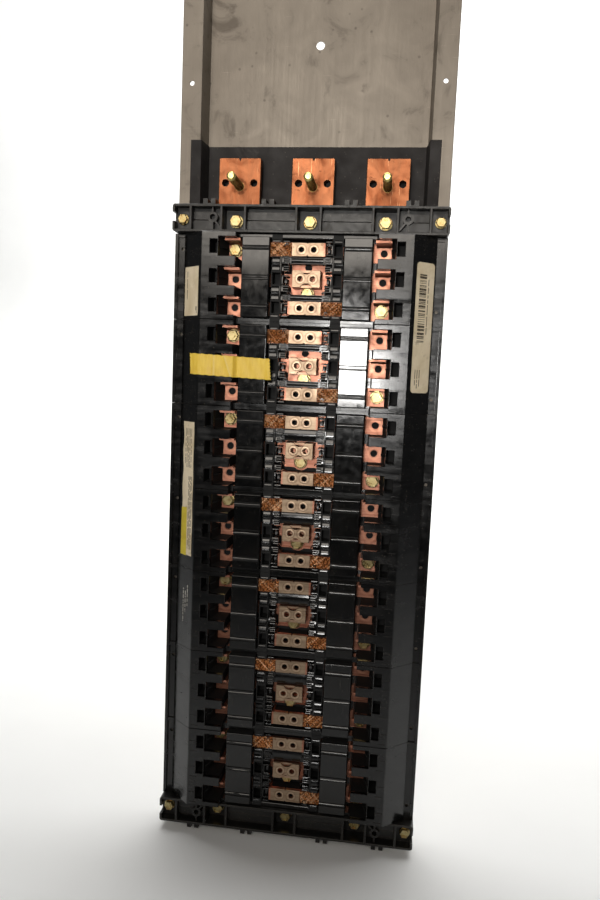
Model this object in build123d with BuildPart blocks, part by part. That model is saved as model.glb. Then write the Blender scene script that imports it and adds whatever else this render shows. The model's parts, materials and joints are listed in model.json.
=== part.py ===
from build123d import *
import os

# Panelboard interior: a formed steel pan that carries three copper buses and seven
# moulded branch modules, 42 branch positions in all. Every size is in millimetres.
# X runs across, Z runs up along the buses and -Y points to the front. The origin is
# the centre of the pan's flat back, and a "height" is a distance in front of it.

# Pan and tray
PAN_WIDTH = 242.0
PAN_LENGTH = 808.0
PAN_SHEET = 1.5
BEND_RADIUS = 0.55
PAN_FLANGE_TOP = 22.0
PAN_FLOOR_HALF = 100.3
PAN_MOUTH_HALF = 102.5
PAN_HOLE_DIAMETER = 7.5
PAN_HOLE_Z = 327.0
FLANGE_HOLE_DIAMETER = 4.2
FLANGE_HOLE_X = 111.5
FLANGE_HOLE_Z = 288.0
TRAY_SHEET = 1.2
TRAY_GAP = 0.05
TRAY_FLANGE_HALF = 111.0
TRAY_TOP_Z = 239.0
TRAY_BOTTOM_Z = -400.0

# Branch modules
MODULES = 7
MODULE_PITCH = 76.2
MODULE_LENGTH = 75.9
CIRCUIT_PITCH = 25.4
STACK_Z = -111.3
DECK_BACK = 16.6
DECK_TOP = 18.0
PLATFORM_TOP = 46.0
PLATFORM_INNER = 62.0
PLATFORM_OUTER = 93.3
SIDE_WALL_FOOT = 112.3
MODULE_WALL = 2.2
BASE_FLANGE_TOP = 28.0
BASE_LIP_TOP = 30.5
BASE_LIP_INNER = 118.4
CORE_OUTER = 88.0
RECESS_HALF = 8.4
RECESS_FLOOR_X = 73.6
RECESS_RAMP_START = 22.0
RECESS_MOUTH_X = 77.6
RECESS_RIB_X = 73.2
RECESS_RIB_FRONT = 36.0
RECESS_RIB_WIDTH = 1.2
SLOT_INNER = 78.3
SLOT_OUTER = 85.0
SLOT_HALF = 6.0
SLOT_FLOOR = 25.0
RAIL_INNER = 22.5
RAIL_OUTER = 31.5
RAIL_TOP = 35.0
RAIL_FLOOR = 21.0
POCKET_HALF = 5.2
PEDESTAL_HALF = 13.4
PEDESTAL_TOP = 30.4
BAR_TOP = 32.0
BAR_BACK = 27.0
BAR_NEAR = 13.5
BAR_WIDE_NEAR = 8.6
BAR_FAR = 18.6
END_BEAM = 3.4
END_BEAM_TOP = 33.0
JOINT_STRIP = 2.4
JOINT_STRIP_TOP = 34.0
FLANGE_DIMPLE_X = 114.6
FLANGE_DIMPLE_INSET = 13.0
FLANGE_DIMPLE_DIAMETER = 3.0

# Buses, studs and straps
BUS_PITCH = 66.7
BUS_WIDTH = 38.1
BUS_THICKNESS = 6.35
BUS_FRONT = 16.5
BUS_TOP_Z = 225.3
BUS_BOTTOM_Z = -399.5
PAD_HOLE_DIAMETER = 6.8
PAD_HOLE_SPACING = 26.0
PAD_HOLE_Z = 203.5
STUD_Z = 200.5
STUD_DIAMETER = 7.8
STUD_SHOULDER_DIAMETER = 8.6
STUD_RELIEF_DIAMETER = 7.0
STUD_RELIEF = 0.3
STUD_TIP = 52.0
STUD_TIP_CHAMFER = 0.9
STUD_HEAD_FLATS = 12.7
STUD_HEAD = 4.6
STRAP_SHEET = 2.0
STRAP_HALF = 6.0
TAB_HALF = 8.2
TAB_INNER = 57.6
TAB_OUTER = 73.4
TAB_WALL_INNER = 59.6
TAB_WALL = 1.9
TAB_BEND = 1.5
TAB_WALL_TOP = 38.0
TAB_HOLE_DIAMETER = 6.5
SEAT_DIAMETER = 15.6
RISER_X = 53.0
BRIDGE_BACK = 31.0
BRIDGE_FRONT = 33.0
BLOCK_HALF = 14.0
BLOCK_BACK = 30.5
BLOCK_FRONT = 34.5
TERMINAL_X = 5.5
TERMINAL_DIAMETER = 4.5
HAT_HALF_X = 12.5
HAT_HALF_Z = 7.5
HAT_FRONT = 36.0
HAT_FLANGE_HALF_X = 15.0
HAT_FLANGE_HALF_Z = 16.6
NEUTRAL_TAB_Z = 11.7

# Covers
COVER_INNER = 32.8
COVER_OUTER = 57.2
COVER_FRONT = 41.0
COVER_LENGTH = 69.4
COVER_WALL = 2.0
COVER_OUTER_SKIRT = 21.0
COVER_INNER_SKIRT = 36.0
GROOVE_WIDTH = 1.1
GROOVE_DEPTH = 1.0
GROOVE_SPACING = 3.2

# End brackets and bus supports
SCREW_LINE = 279.2
BRACKET_HALF = 121.6
BRACKET_BODY_HALF = 106.2
BRACKET_DEPTH = 24.0
BRACKET_WALL = 2.2
BRACKET_FRONT = 39.0
BRACKET_FLOOR = 22.0
BRACKET_LEDGE = 32.0
EAR_FRONT = 29.0
BOLT_POCKET_HALF = 9.5
BOSS_X = 86.0
BOSS_LIFT = 1.5
BOSS_DIAMETER = 9.0
BOSS_HOLE = 5.0
BRACKET_RIB = 1.4
BRACKET_CORNER = 2.5
NUB_SPREAD = (36.5, 89.0)
NUB_REACH = 5.0
NUB_FRONT = 36.5
CORNER_SCREW_X = 114.0
SUPPORT_HALF = 95.0
SUPPORT_DEPTH = 20.0

# Threaded fasteners
BOLT_FLANGE = 12.4
BOLT_FLATS = 9.5
BOLT_SHANK = 6.2
SCREW_FLANGE = 10.2
SCREW_FLATS = 7.9
SCREW_SHANK = 4.8
HEAD_FLANGE = 1.4
HEAD_HEIGHT = 5.0
RUNNING_GAP = 0.05
EDGE_BREAK = 0.35

# Worked out from the sizes above
FRONT = Plane(origin=(0, 0, 0), x_dir=(1, 0, 0), z_dir=(0, -1, 0))
SIDE = Plane(origin=(0, 0, 0), x_dir=(0, 0, 1), z_dir=(1, 0, 0))
ROWS = (CIRCUIT_PITCH, 0.0, -CIRCUIT_PITCH)
MODULE_CENTRES = [STACK_Z + MODULE_PITCH * ((MODULES - 1) / 2 - k) for k in range(MODULES)]
BUS_CENTRES = {"a": -BUS_PITCH, "b": 0.0, "c": BUS_PITCH}
TAP_OFFSETS = {"a": CIRCUIT_PITCH, "b": -NEUTRAL_TAB_Z, "c": -CIRCUIT_PITCH}
BUS_BACK = BUS_FRONT - BUS_THICKNESS
TAB_FRONT = DECK_TOP + STRAP_SHEET
TOP_SCREWS_Z = STACK_Z + SCREW_LINE
BOTTOM_SCREWS_Z = STACK_Z - SCREW_LINE
BUS_BOLT_X = (-BUS_PITCH, 0.0, BUS_PITCH)


def section(points):
    """A closed outline across the object, from (x, height) pairs, as points of the XY plane."""
    return [(x, -height) for x, height in points]


def both_sides(points):
    """A symmetric outline from its right half, listed from the centre outwards and back."""
    return points + [(-x, height) for x, height in reversed(points)]


def make_pan():
    back = PAN_FLANGE_TOP - PAN_SHEET
    outline = both_sides([
        (PAN_FLOOR_HALF, PAN_SHEET),
        (PAN_MOUTH_HALF, PAN_FLANGE_TOP),
        (PAN_WIDTH / 2, PAN_FLANGE_TOP),
        (PAN_WIDTH / 2, back),
        (PAN_MOUTH_HALF + PAN_SHEET, back),
        (PAN_FLOOR_HALF + PAN_SHEET, 0),
    ])
    with BuildPart() as pan:
        with BuildSketch(Plane.XY.offset(-PAN_LENGTH / 2)):
            with BuildLine():
                FilletPolyline(*section(outline), radius=BEND_RADIUS, close=True)
            make_face()
        extrude(amount=PAN_LENGTH)
        with BuildSketch(FRONT):
            with Locations((0, PAN_HOLE_Z)):
                Circle(PAN_HOLE_DIAMETER / 2)
            with Locations((-FLANGE_HOLE_X, FLANGE_HOLE_Z), (FLANGE_HOLE_X, FLANGE_HOLE_Z)):
                Circle(FLANGE_HOLE_DIAMETER / 2)
            for z in (TOP_SCREWS_Z, BOTTOM_SCREWS_Z):
                with Locations((-CORNER_SCREW_X, z), (CORNER_SCREW_X, z)):
                    Circle(SCREW_SHANK / 2 + RUNNING_GAP)
        extrude(amount=PAN_FLANGE_TOP + 1, mode=Mode.SUBTRACT)
    return pan.part


def make_tray():
    floor_back = PAN_SHEET + TRAY_GAP
    flange_back = PAN_FLANGE_TOP + TRAY_GAP
    outline = both_sides([
        (PAN_FLOOR_HALF - TRAY_GAP - TRAY_SHEET, floor_back + TRAY_SHEET),
        (PAN_MOUTH_HALF - TRAY_GAP - TRAY_SHEET, flange_back + TRAY_SHEET),
        (TRAY_FLANGE_HALF, flange_back + TRAY_SHEET),
        (TRAY_FLANGE_HALF, flange_back),
        (PAN_MOUTH_HALF - TRAY_GAP, flange_back),
        (PAN_FLOOR_HALF - TRAY_GAP, floor_back),
    ])
    with BuildPart() as tray:
        with BuildSketch(Plane.XY.offset(TRAY_BOTTOM_Z)):
            with BuildLine():
                FilletPolyline(*section(outline), radius=BEND_RADIUS, close=True)
            make_face()
        extrude(amount=TRAY_TOP_Z - TRAY_BOTTOM_Z)
    return tray.part


def make_bus(phase):
    x = BUS_CENTRES[phase]
    length = BUS_TOP_Z - BUS_BOTTOM_Z
    middle = (BUS_TOP_Z + BUS_BOTTOM_Z) / 2
    notch = [(x - 1.6, BUS_TOP_Z + 1), (x, BUS_TOP_Z - 2.2), (x + 1.6, BUS_TOP_Z + 1)]
    with BuildPart() as bus:
        with BuildSketch(FRONT.offset(BUS_BACK)):
            with Locations((x, middle)):
                RectangleRounded(BUS_WIDTH, length, 1.0)
            with BuildLine():
                Polyline(*notch, close=True)
            make_face(mode=Mode.SUBTRACT)
            with Locations((x - PAD_HOLE_SPACING / 2, PAD_HOLE_Z), (x + PAD_HOLE_SPACING / 2, PAD_HOLE_Z)):
                Circle(PAD_HOLE_DIAMETER / 2, mode=Mode.SUBTRACT)
            with Locations((x, STUD_Z)):
                Circle(STUD_SHOULDER_DIAMETER / 2 + RUNNING_GAP, mode=Mode.SUBTRACT)
            with Locations((x, TOP_SCREWS_Z), (x, BOTTOM_SCREWS_Z)):
                Circle(BOLT_SHANK / 2 + RUNNING_GAP, mode=Mode.SUBTRACT)
            with Locations(*[(x, centre + TAP_OFFSETS[phase]) for centre in MODULE_CENTRES]):
                Circle(BOLT_SHANK / 2 + RUNNING_GAP, mode=Mode.SUBTRACT)
        extrude(amount=BUS_THICKNESS)
        chamfer(bus.faces().sort_by(Axis.Y)[0].outer_wire().edges(), 0.4)
    return bus.part


def make_bus_support(z):
    back = PAN_SHEET + TRAY_GAP + TRAY_SHEET
    with BuildPart() as support:
        with BuildSketch(FRONT.offset(back)):
            with Locations((0, z)):
                RectangleRounded(2 * SUPPORT_HALF, SUPPORT_DEPTH, 2)
            with Locations(*[(x, z) for x in BUS_BOLT_X]):
                Circle(BOLT_SHANK / 2 + 1.5, mode=Mode.SUBTRACT)
        extrude(amount=BUS_BACK - back)
    return support.part


def make_row_solids(half_z, outline):
    """The solid of one outline, and of its mirror image, at each of the three rows."""
    with BuildPart() as solids:
        for z in ROWS:
            with BuildSketch(Plane.XY.offset(z - half_z)):
                with BuildLine():
                    Polyline(*section(outline), close=True)
                make_face()
                mirror(about=Plane.YZ)
            extrude(amount=2 * half_z)
    return solids.part


def make_module_base(wide_bar):
    slope = (SIDE_WALL_FOOT - PLATFORM_OUTER, PLATFORM_TOP - BASE_FLANGE_TOP - 1.5)
    run = (slope[0] ** 2 + slope[1] ** 2) ** 0.5
    lift = MODULE_WALL * run / slope[0]
    flange_back = BASE_FLANGE_TOP - MODULE_WALL
    platform_back = PLATFORM_TOP - MODULE_WALL
    steep = slope[0] / slope[1]
    inner_top = PLATFORM_OUTER - (lift - MODULE_WALL) * steep
    inner_foot = inner_top + (platform_back - flange_back) * steep
    shell = both_sides([
        (PLATFORM_INNER, DECK_TOP),
        (PLATFORM_INNER, PLATFORM_TOP),
        (PLATFORM_OUTER - 0.8, PLATFORM_TOP),
        (PLATFORM_OUTER + 0.4, PLATFORM_TOP - 0.9),
        (SIDE_WALL_FOOT, BASE_FLANGE_TOP + 1.5),
        (SIDE_WALL_FOOT, BASE_FLANGE_TOP),
        (BASE_LIP_INNER, BASE_FLANGE_TOP),
        (BASE_LIP_INNER, BASE_LIP_TOP),
        (PAN_WIDTH / 2, BASE_LIP_TOP),
        (PAN_WIDTH / 2, PAN_FLANGE_TOP + TRAY_GAP),
        (PAN_WIDTH / 2 - MODULE_WALL, PAN_FLANGE_TOP + TRAY_GAP),
        (PAN_WIDTH / 2 - MODULE_WALL, flange_back),
        (inner_foot, flange_back),
        (inner_top, platform_back),
        (CORE_OUTER, platform_back),
        (CORE_OUTER, DECK_BACK),
    ])
    recess = [
        (PLATFORM_INNER - 1, DECK_TOP),
        (RECESS_FLOOR_X, DECK_TOP),
        (RECESS_FLOOR_X, RECESS_RAMP_START),
        (RECESS_MOUTH_X, PLATFORM_TOP + 1),
        (PLATFORM_INNER - 1, PLATFORM_TOP + 1),
    ]
    slot = [
        (SLOT_INNER, SLOT_FLOOR),
        (SLOT_OUTER, SLOT_FLOOR),
        (SLOT_OUTER, PLATFORM_TOP + 1),
        (SLOT_INNER, PLATFORM_TOP + 1),
    ]
    rail_x = (RAIL_INNER + RAIL_OUTER) / 2
    bar_near = BAR_WIDE_NEAR if wide_bar else BAR_NEAR
    seats = [(-BUS_PITCH, CIRCUIT_PITCH), (0, -NEUTRAL_TAB_Z), (BUS_PITCH, -CIRCUIT_PITCH)]
    rib = [
        (RECESS_MOUTH_X + 0.1, TAB_FRONT + 0.2),
        (RECESS_RIB_X, TAB_FRONT + 0.2),
        (RECESS_RIB_X, RECESS_RIB_FRONT),
        (RECESS_MOUTH_X + 0.1, PLATFORM_TOP - 1.5),
    ]
    recess_space = make_row_solids(RECESS_HALF, recess)
    slot_space = make_row_solids(SLOT_HALF, slot)
    recess_ribs = make_row_solids(RECESS_RIB_WIDTH / 2, rib)
    with BuildPart() as base:
        with BuildSketch(Plane.XY.offset(-MODULE_LENGTH / 2)):
            with BuildLine():
                Polyline(*section(shell), close=True)
            make_face()
        extrude(amount=MODULE_LENGTH)
        # rails each side of the centre channel, end beams and the pedestals of the centre blocks
        with BuildSketch(FRONT.offset(DECK_TOP)):
            with Locations((-rail_x, 0), (rail_x, 0)):
                Rectangle(RAIL_OUTER - RAIL_INNER, MODULE_LENGTH)
        extrude(amount=RAIL_TOP - DECK_TOP)
        with BuildSketch(FRONT.offset(DECK_TOP)):
            for z in (-(MODULE_LENGTH - END_BEAM) / 2, (MODULE_LENGTH - END_BEAM) / 2):
                with Locations((0, z)):
                    Rectangle(2 * RAIL_OUTER, END_BEAM)
        extrude(amount=END_BEAM_TOP - DECK_TOP)
        with BuildSketch(FRONT.offset(DECK_TOP)):
            with Locations((0, CIRCUIT_PITCH), (0, -CIRCUIT_PITCH)):
                Rectangle(2 * PEDESTAL_HALF, 2 * STRAP_HALF - 1)
        extrude(amount=PEDESTAL_TOP - DECK_TOP)
        # barrier bars between the rows
        with BuildSketch(FRONT.offset(BAR_BACK)):
            with Locations((0, (bar_near + BAR_FAR) / 2)):
                Rectangle(2 * RAIL_INNER + 1, BAR_FAR - bar_near)
            if not wide_bar:
                with Locations((0, -(BAR_NEAR + BAR_FAR) / 2)):
                    Rectangle(2 * RAIL_INNER + 1, BAR_FAR - BAR_NEAR)
        extrude(amount=BAR_TOP - BAR_BACK)
        # strips at the module joints, between the ends of the covers
        with BuildSketch(FRONT.offset(DECK_TOP)):
            for z in (-(MODULE_LENGTH - JOINT_STRIP) / 2, (MODULE_LENGTH - JOINT_STRIP) / 2):
                with Locations((0, z)):
                    Rectangle(2 * PLATFORM_INNER + 1, JOINT_STRIP)
        extrude(amount=JOINT_STRIP_TOP - DECK_TOP)
        add(recess_space, mode=Mode.SUBTRACT)
        add(slot_space, mode=Mode.SUBTRACT)
        add(recess_ribs)
        # pockets in the rails, and the ways the straps take through them
        with BuildSketch(FRONT.offset(RAIL_FLOOR)):
            with Locations(*[(x, z) for x in (-rail_x, rail_x) for z in ROWS]):
                Rectangle(RAIL_OUTER - RAIL_INNER - 2, 2 * POCKET_HALF)
        extrude(amount=RAIL_TOP, mode=Mode.SUBTRACT)
        with BuildSketch(FRONT.offset(DECK_TOP)):
            with Locations(*[(x, z) for x in (-rail_x, rail_x) for z in ROWS]):
                Rectangle(RAIL_OUTER - RAIL_INNER + 1, 2 * STRAP_HALF + 0.6)
        extrude(amount=STRAP_SHEET + 0.2, mode=Mode.SUBTRACT)
        with BuildSketch(FRONT.offset(BRIDGE_BACK - 0.1)):
            with Locations((-rail_x, CIRCUIT_PITCH), (rail_x, -CIRCUIT_PITCH)):
                Rectangle(RAIL_OUTER - RAIL_INNER + 1, 2 * STRAP_HALF + 0.6)
        extrude(amount=RAIL_TOP, mode=Mode.SUBTRACT)
        # comb slots in the rails between the rows
        with BuildSketch(FRONT.offset(RAIL_TOP - 4)):
            for z in (CIRCUIT_PITCH / 2, -CIRCUIT_PITCH / 2):
                for step in (-1, 0, 1):
                    with Locations((-rail_x - 1.5, z + 4 * step), (rail_x + 1.5, z + 4 * step)):
                        Rectangle(RAIL_OUTER - RAIL_INNER - 3, 1.3)
        extrude(amount=4, mode=Mode.SUBTRACT)
        with BuildSketch(FRONT.offset(DECK_BACK - 1)):
            with Locations(*seats):
                Circle(SEAT_DIAMETER / 2 + 0.3)
        extrude(amount=DECK_TOP - DECK_BACK + 1, mode=Mode.SUBTRACT)
        # screw holes of the centre blocks, and the small hole in each side flange
        with BuildSketch(FRONT.offset(PEDESTAL_TOP - 8)):
            for z in (CIRCUIT_PITCH, -CIRCUIT_PITCH):
                with Locations((-TERMINAL_X, z), (TERMINAL_X, z)):
                    Circle(TERMINAL_DIAMETER / 2 + 0.3)
        extrude(amount=8, mode=Mode.SUBTRACT)
        dimple_z = MODULE_LENGTH / 2 - FLANGE_DIMPLE_INSET
        with BuildSketch(FRONT.offset(flange_back)):
            with Locations((-FLANGE_DIMPLE_X, dimple_z), (FLANGE_DIMPLE_X, -dimple_z)):
                Circle(FLANGE_DIMPLE_DIAMETER / 2)
        extrude(amount=BASE_FLANGE_TOP, mode=Mode.SUBTRACT)
        chamfer(base.faces().filter_by(Axis.Y).sort_by(Axis.Y)[0:2].edges(), EDGE_BREAK)
        # thin ribs on the platforms and a lug at each upper outer corner
        with BuildSketch(FRONT.offset(PLATFORM_TOP)):
            for z in ROWS:
                for side in (-1, 1):
                    with Locations((side * 88.9, z), (side * 87.5, z - 9.6)):
                        Rectangle(6.4, 0.9)
        extrude(amount=0.5)
        with BuildSketch(FRONT.offset(BASE_FLANGE_TOP)):
            for side in (-1, 1):
                with Locations((side * 115.4, MODULE_LENGTH / 2 - 1.5)):
                    Rectangle(6.2, 3)
        extrude(amount=1.6)
    return base.part


def make_tabs():
    """The widened ends of a strap, each with one upright wall, on both sides of the module."""
    plate = [(-TAB_HALF, DECK_TOP), (TAB_HALF, DECK_TOP), (TAB_HALF, TAB_FRONT), (-TAB_HALF, TAB_FRONT)]
    wall_face = TAB_HALF - TAB_WALL
    wall = [
        (wall_face - TAB_BEND, DECK_TOP),
        (TAB_HALF, DECK_TOP),
        (TAB_HALF, TAB_WALL_TOP),
        (wall_face, TAB_WALL_TOP),
        (wall_face, TAB_FRONT + TAB_BEND),
        (wall_face - TAB_BEND, TAB_FRONT),
    ]
    with BuildPart() as tabs:
        for outline, inner in ((plate, TAB_INNER), (wall, TAB_WALL_INNER)):
            for start in (-TAB_OUTER, inner):
                with BuildSketch(SIDE.offset(start)):
                    with BuildLine():
                        Polyline(*outline, close=True)
                    make_face()
                extrude(amount=TAB_OUTER - inner)
    return tabs.part


def make_offset_strap(seat_side):
    """Strap of an outer phase: it rises over the rail on its own bus's side and lies low on the other."""
    s = seat_side
    run = [
        (s * TAB_INNER + s, DECK_TOP),
        (s * RISER_X, DECK_TOP),
        (s * RISER_X, BRIDGE_BACK),
        (s * BLOCK_HALF, BRIDGE_BACK),
        (s * BLOCK_HALF, BLOCK_BACK),
        (-s * BLOCK_HALF, BLOCK_BACK),
        (-s * BLOCK_HALF, DECK_TOP),
        (-s * TAB_INNER - s, DECK_TOP),
        (-s * TAB_INNER - s, TAB_FRONT),
        (-s * (BLOCK_HALF + STRAP_SHEET), TAB_FRONT),
        (-s * (BLOCK_HALF + STRAP_SHEET), BLOCK_FRONT),
        (s * BLOCK_HALF, BLOCK_FRONT),
        (s * BLOCK_HALF, BRIDGE_FRONT),
        (s * (RISER_X + STRAP_SHEET), BRIDGE_FRONT),
        (s * (RISER_X + STRAP_SHEET), TAB_FRONT),
        (s * TAB_INNER + s, TAB_FRONT),
    ]
    tabs = make_tabs()
    with BuildPart() as strap:
        with BuildSketch(Plane.XY.offset(-STRAP_HALF)):
            with BuildLine():
                Polyline(*section(run), close=True)
            make_face()
        extrude(amount=2 * STRAP_HALF)
        add(tabs)
        with BuildSketch(FRONT.offset(BUS_FRONT)):
            with Locations((s * BUS_PITCH, 0)):
                Circle(SEAT_DIAMETER / 2)
        extrude(amount=DECK_TOP - BUS_FRONT)
        # room for the flanged bolt head in the bend of the wall
        with BuildSketch(FRONT.offset(TAB_FRONT)):
            with Locations((s * BUS_PITCH, 0)):
                Circle(BOLT_FLANGE / 2 + RUNNING_GAP)
        extrude(amount=TAB_BEND, mode=Mode.SUBTRACT)
        with BuildSketch(FRONT.offset(BUS_FRONT - 1)):
            with Locations((-BUS_PITCH, 0), (BUS_PITCH, 0)):
                Circle(TAB_HOLE_DIAMETER / 2)
        extrude(amount=TAB_FRONT - BUS_FRONT + 2, mode=Mode.SUBTRACT)
        with BuildSketch(FRONT.offset(BLOCK_BACK - 1)):
            with Locations((-TERMINAL_X, 0), (TERMINAL_X, 0)):
                Circle(TERMINAL_DIAMETER / 2)
            for z in (-STRAP_HALF, STRAP_HALF):
                with Locations((0, z)):
                    Rectangle(1.3, 1.3, rotation=45)
        extrude(amount=BLOCK_FRONT - BLOCK_BACK + 2, mode=Mode.SUBTRACT)
        terminal_face = strap.faces().filter_by(Axis.Y).filter_by_position(
            Axis.Y, -BLOCK_FRONT - 0.1, -BLOCK_FRONT + 0.1)
        chamfer(terminal_face.edges(), EDGE_BREAK)
    return strap.part


def make_centre_strap():
    """Strap of the middle phase: a flat cross on the middle bus with a raised terminal hat."""
    hat_back = HAT_FRONT - STRAP_SHEET
    holes = [(-BUS_PITCH, 0), (BUS_PITCH, 0), (0, -NEUTRAL_TAB_Z), (0, NEUTRAL_TAB_Z)]
    tabs = make_tabs()
    with BuildPart() as strap:
        with BuildSketch(FRONT.offset(DECK_TOP)):
            Rectangle(2 * TAB_INNER + 2, 2 * STRAP_HALF)
            Rectangle(2 * HAT_FLANGE_HALF_X, 2 * HAT_FLANGE_HALF_Z)
        extrude(amount=STRAP_SHEET)
        with BuildSketch(FRONT.offset(DECK_TOP)):
            for z in (-HAT_HALF_Z + STRAP_SHEET / 2, HAT_HALF_Z - STRAP_SHEET / 2):
                with Locations((0, z)):
                    Rectangle(2 * HAT_HALF_X, STRAP_SHEET)
        extrude(amount=hat_back - DECK_TOP)
        with BuildSketch(FRONT.offset(hat_back)):
            Rectangle(2 * HAT_HALF_X, 2 * HAT_HALF_Z)
            for z in (-HAT_HALF_Z - 2.2, HAT_HALF_Z + 2.2):
                with Locations((0, z)):
                    Circle(5.6, mode=Mode.SUBTRACT)
            with Locations((-TERMINAL_X, 0), (TERMINAL_X, 0)):
                Circle(TERMINAL_DIAMETER / 2, mode=Mode.SUBTRACT)
        extrude(amount=STRAP_SHEET)
        with BuildSketch(FRONT.offset(BUS_FRONT)):
            with Locations((0, -NEUTRAL_TAB_Z)):
                Circle(SEAT_DIAMETER / 2)
        extrude(amount=DECK_TOP - BUS_FRONT)
        add(tabs)
        with BuildSketch(FRONT.offset(BUS_FRONT - 1)):
            with Locations(*holes):
                Circle(TAB_HOLE_DIAMETER / 2)
        extrude(amount=TAB_FRONT - BUS_FRONT + 2, mode=Mode.SUBTRACT)
        # room for the flanged bolt head in the upright of the hat
        with BuildSketch(FRONT.offset(TAB_FRONT)):
            with Locations((0, -NEUTRAL_TAB_Z), (0, NEUTRAL_TAB_Z)):
                Circle(BOLT_FLANGE / 2 + 0.4)
        extrude(amount=HEAD_FLANGE + HEAD_HEIGHT + 1.5, mode=Mode.SUBTRACT)
        hat_face = strap.faces().filter_by(Axis.Y).filter_by_position(
            Axis.Y, -HAT_FRONT - 0.1, -HAT_FRONT + 0.1)
        chamfer(hat_face.edges(), EDGE_BREAK)
    return strap.part


def make_cover(side):
    middle = side * (COVER_INNER + COVER_OUTER) / 2
    width = COVER_OUTER - COVER_INNER
    inside = COVER_FRONT - COVER_WALL
    with BuildPart() as cover:
        with BuildSketch(FRONT.offset(DECK_TOP + 0.1)):
            with Locations((middle, 0)):
                Rectangle(width, COVER_LENGTH)
        extrude(amount=COVER_FRONT - DECK_TOP - 0.1)
        front_edges = cover.faces().sort_by(Axis.Y)[0].edges()
        fillet(front_edges, 0.6)
        with BuildSketch(FRONT.offset(DECK_TOP - 1)):
            with Locations((middle, 0)):
                Rectangle(width - 2 * COVER_WALL, COVER_LENGTH - 2 * COVER_WALL)
        extrude(amount=inside - DECK_TOP + 1, mode=Mode.SUBTRACT)
        with BuildSketch(FRONT.offset(DECK_TOP - 1)):
            with Locations((side * (COVER_OUTER - COVER_WALL / 2), 0)):
                Rectangle(COVER_WALL + 1, COVER_LENGTH - 2 * COVER_WALL)
        extrude(amount=COVER_OUTER_SKIRT - DECK_TOP + 1, mode=Mode.SUBTRACT)
        with BuildSketch(FRONT.offset(DECK_TOP - 1)):
            with Locations((side * (COVER_INNER + COVER_WALL / 2), 0)):
                Rectangle(COVER_WALL + 1, COVER_LENGTH - 2 * COVER_WALL)
        extrude(amount=COVER_INNER_SKIRT - DECK_TOP + 1, mode=Mode.SUBTRACT)
        with BuildSketch(FRONT.offset(COVER_FRONT - GROOVE_DEPTH)):
            for z in ROWS:
                with Locations((middle, z - GROOVE_SPACING / 2), (middle, z + GROOVE_SPACING / 2)):
                    Rectangle(width + 1, GROOVE_WIDTH)
        extrude(amount=GROOVE_DEPTH + 1, mode=Mode.SUBTRACT)
    return cover.part


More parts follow.
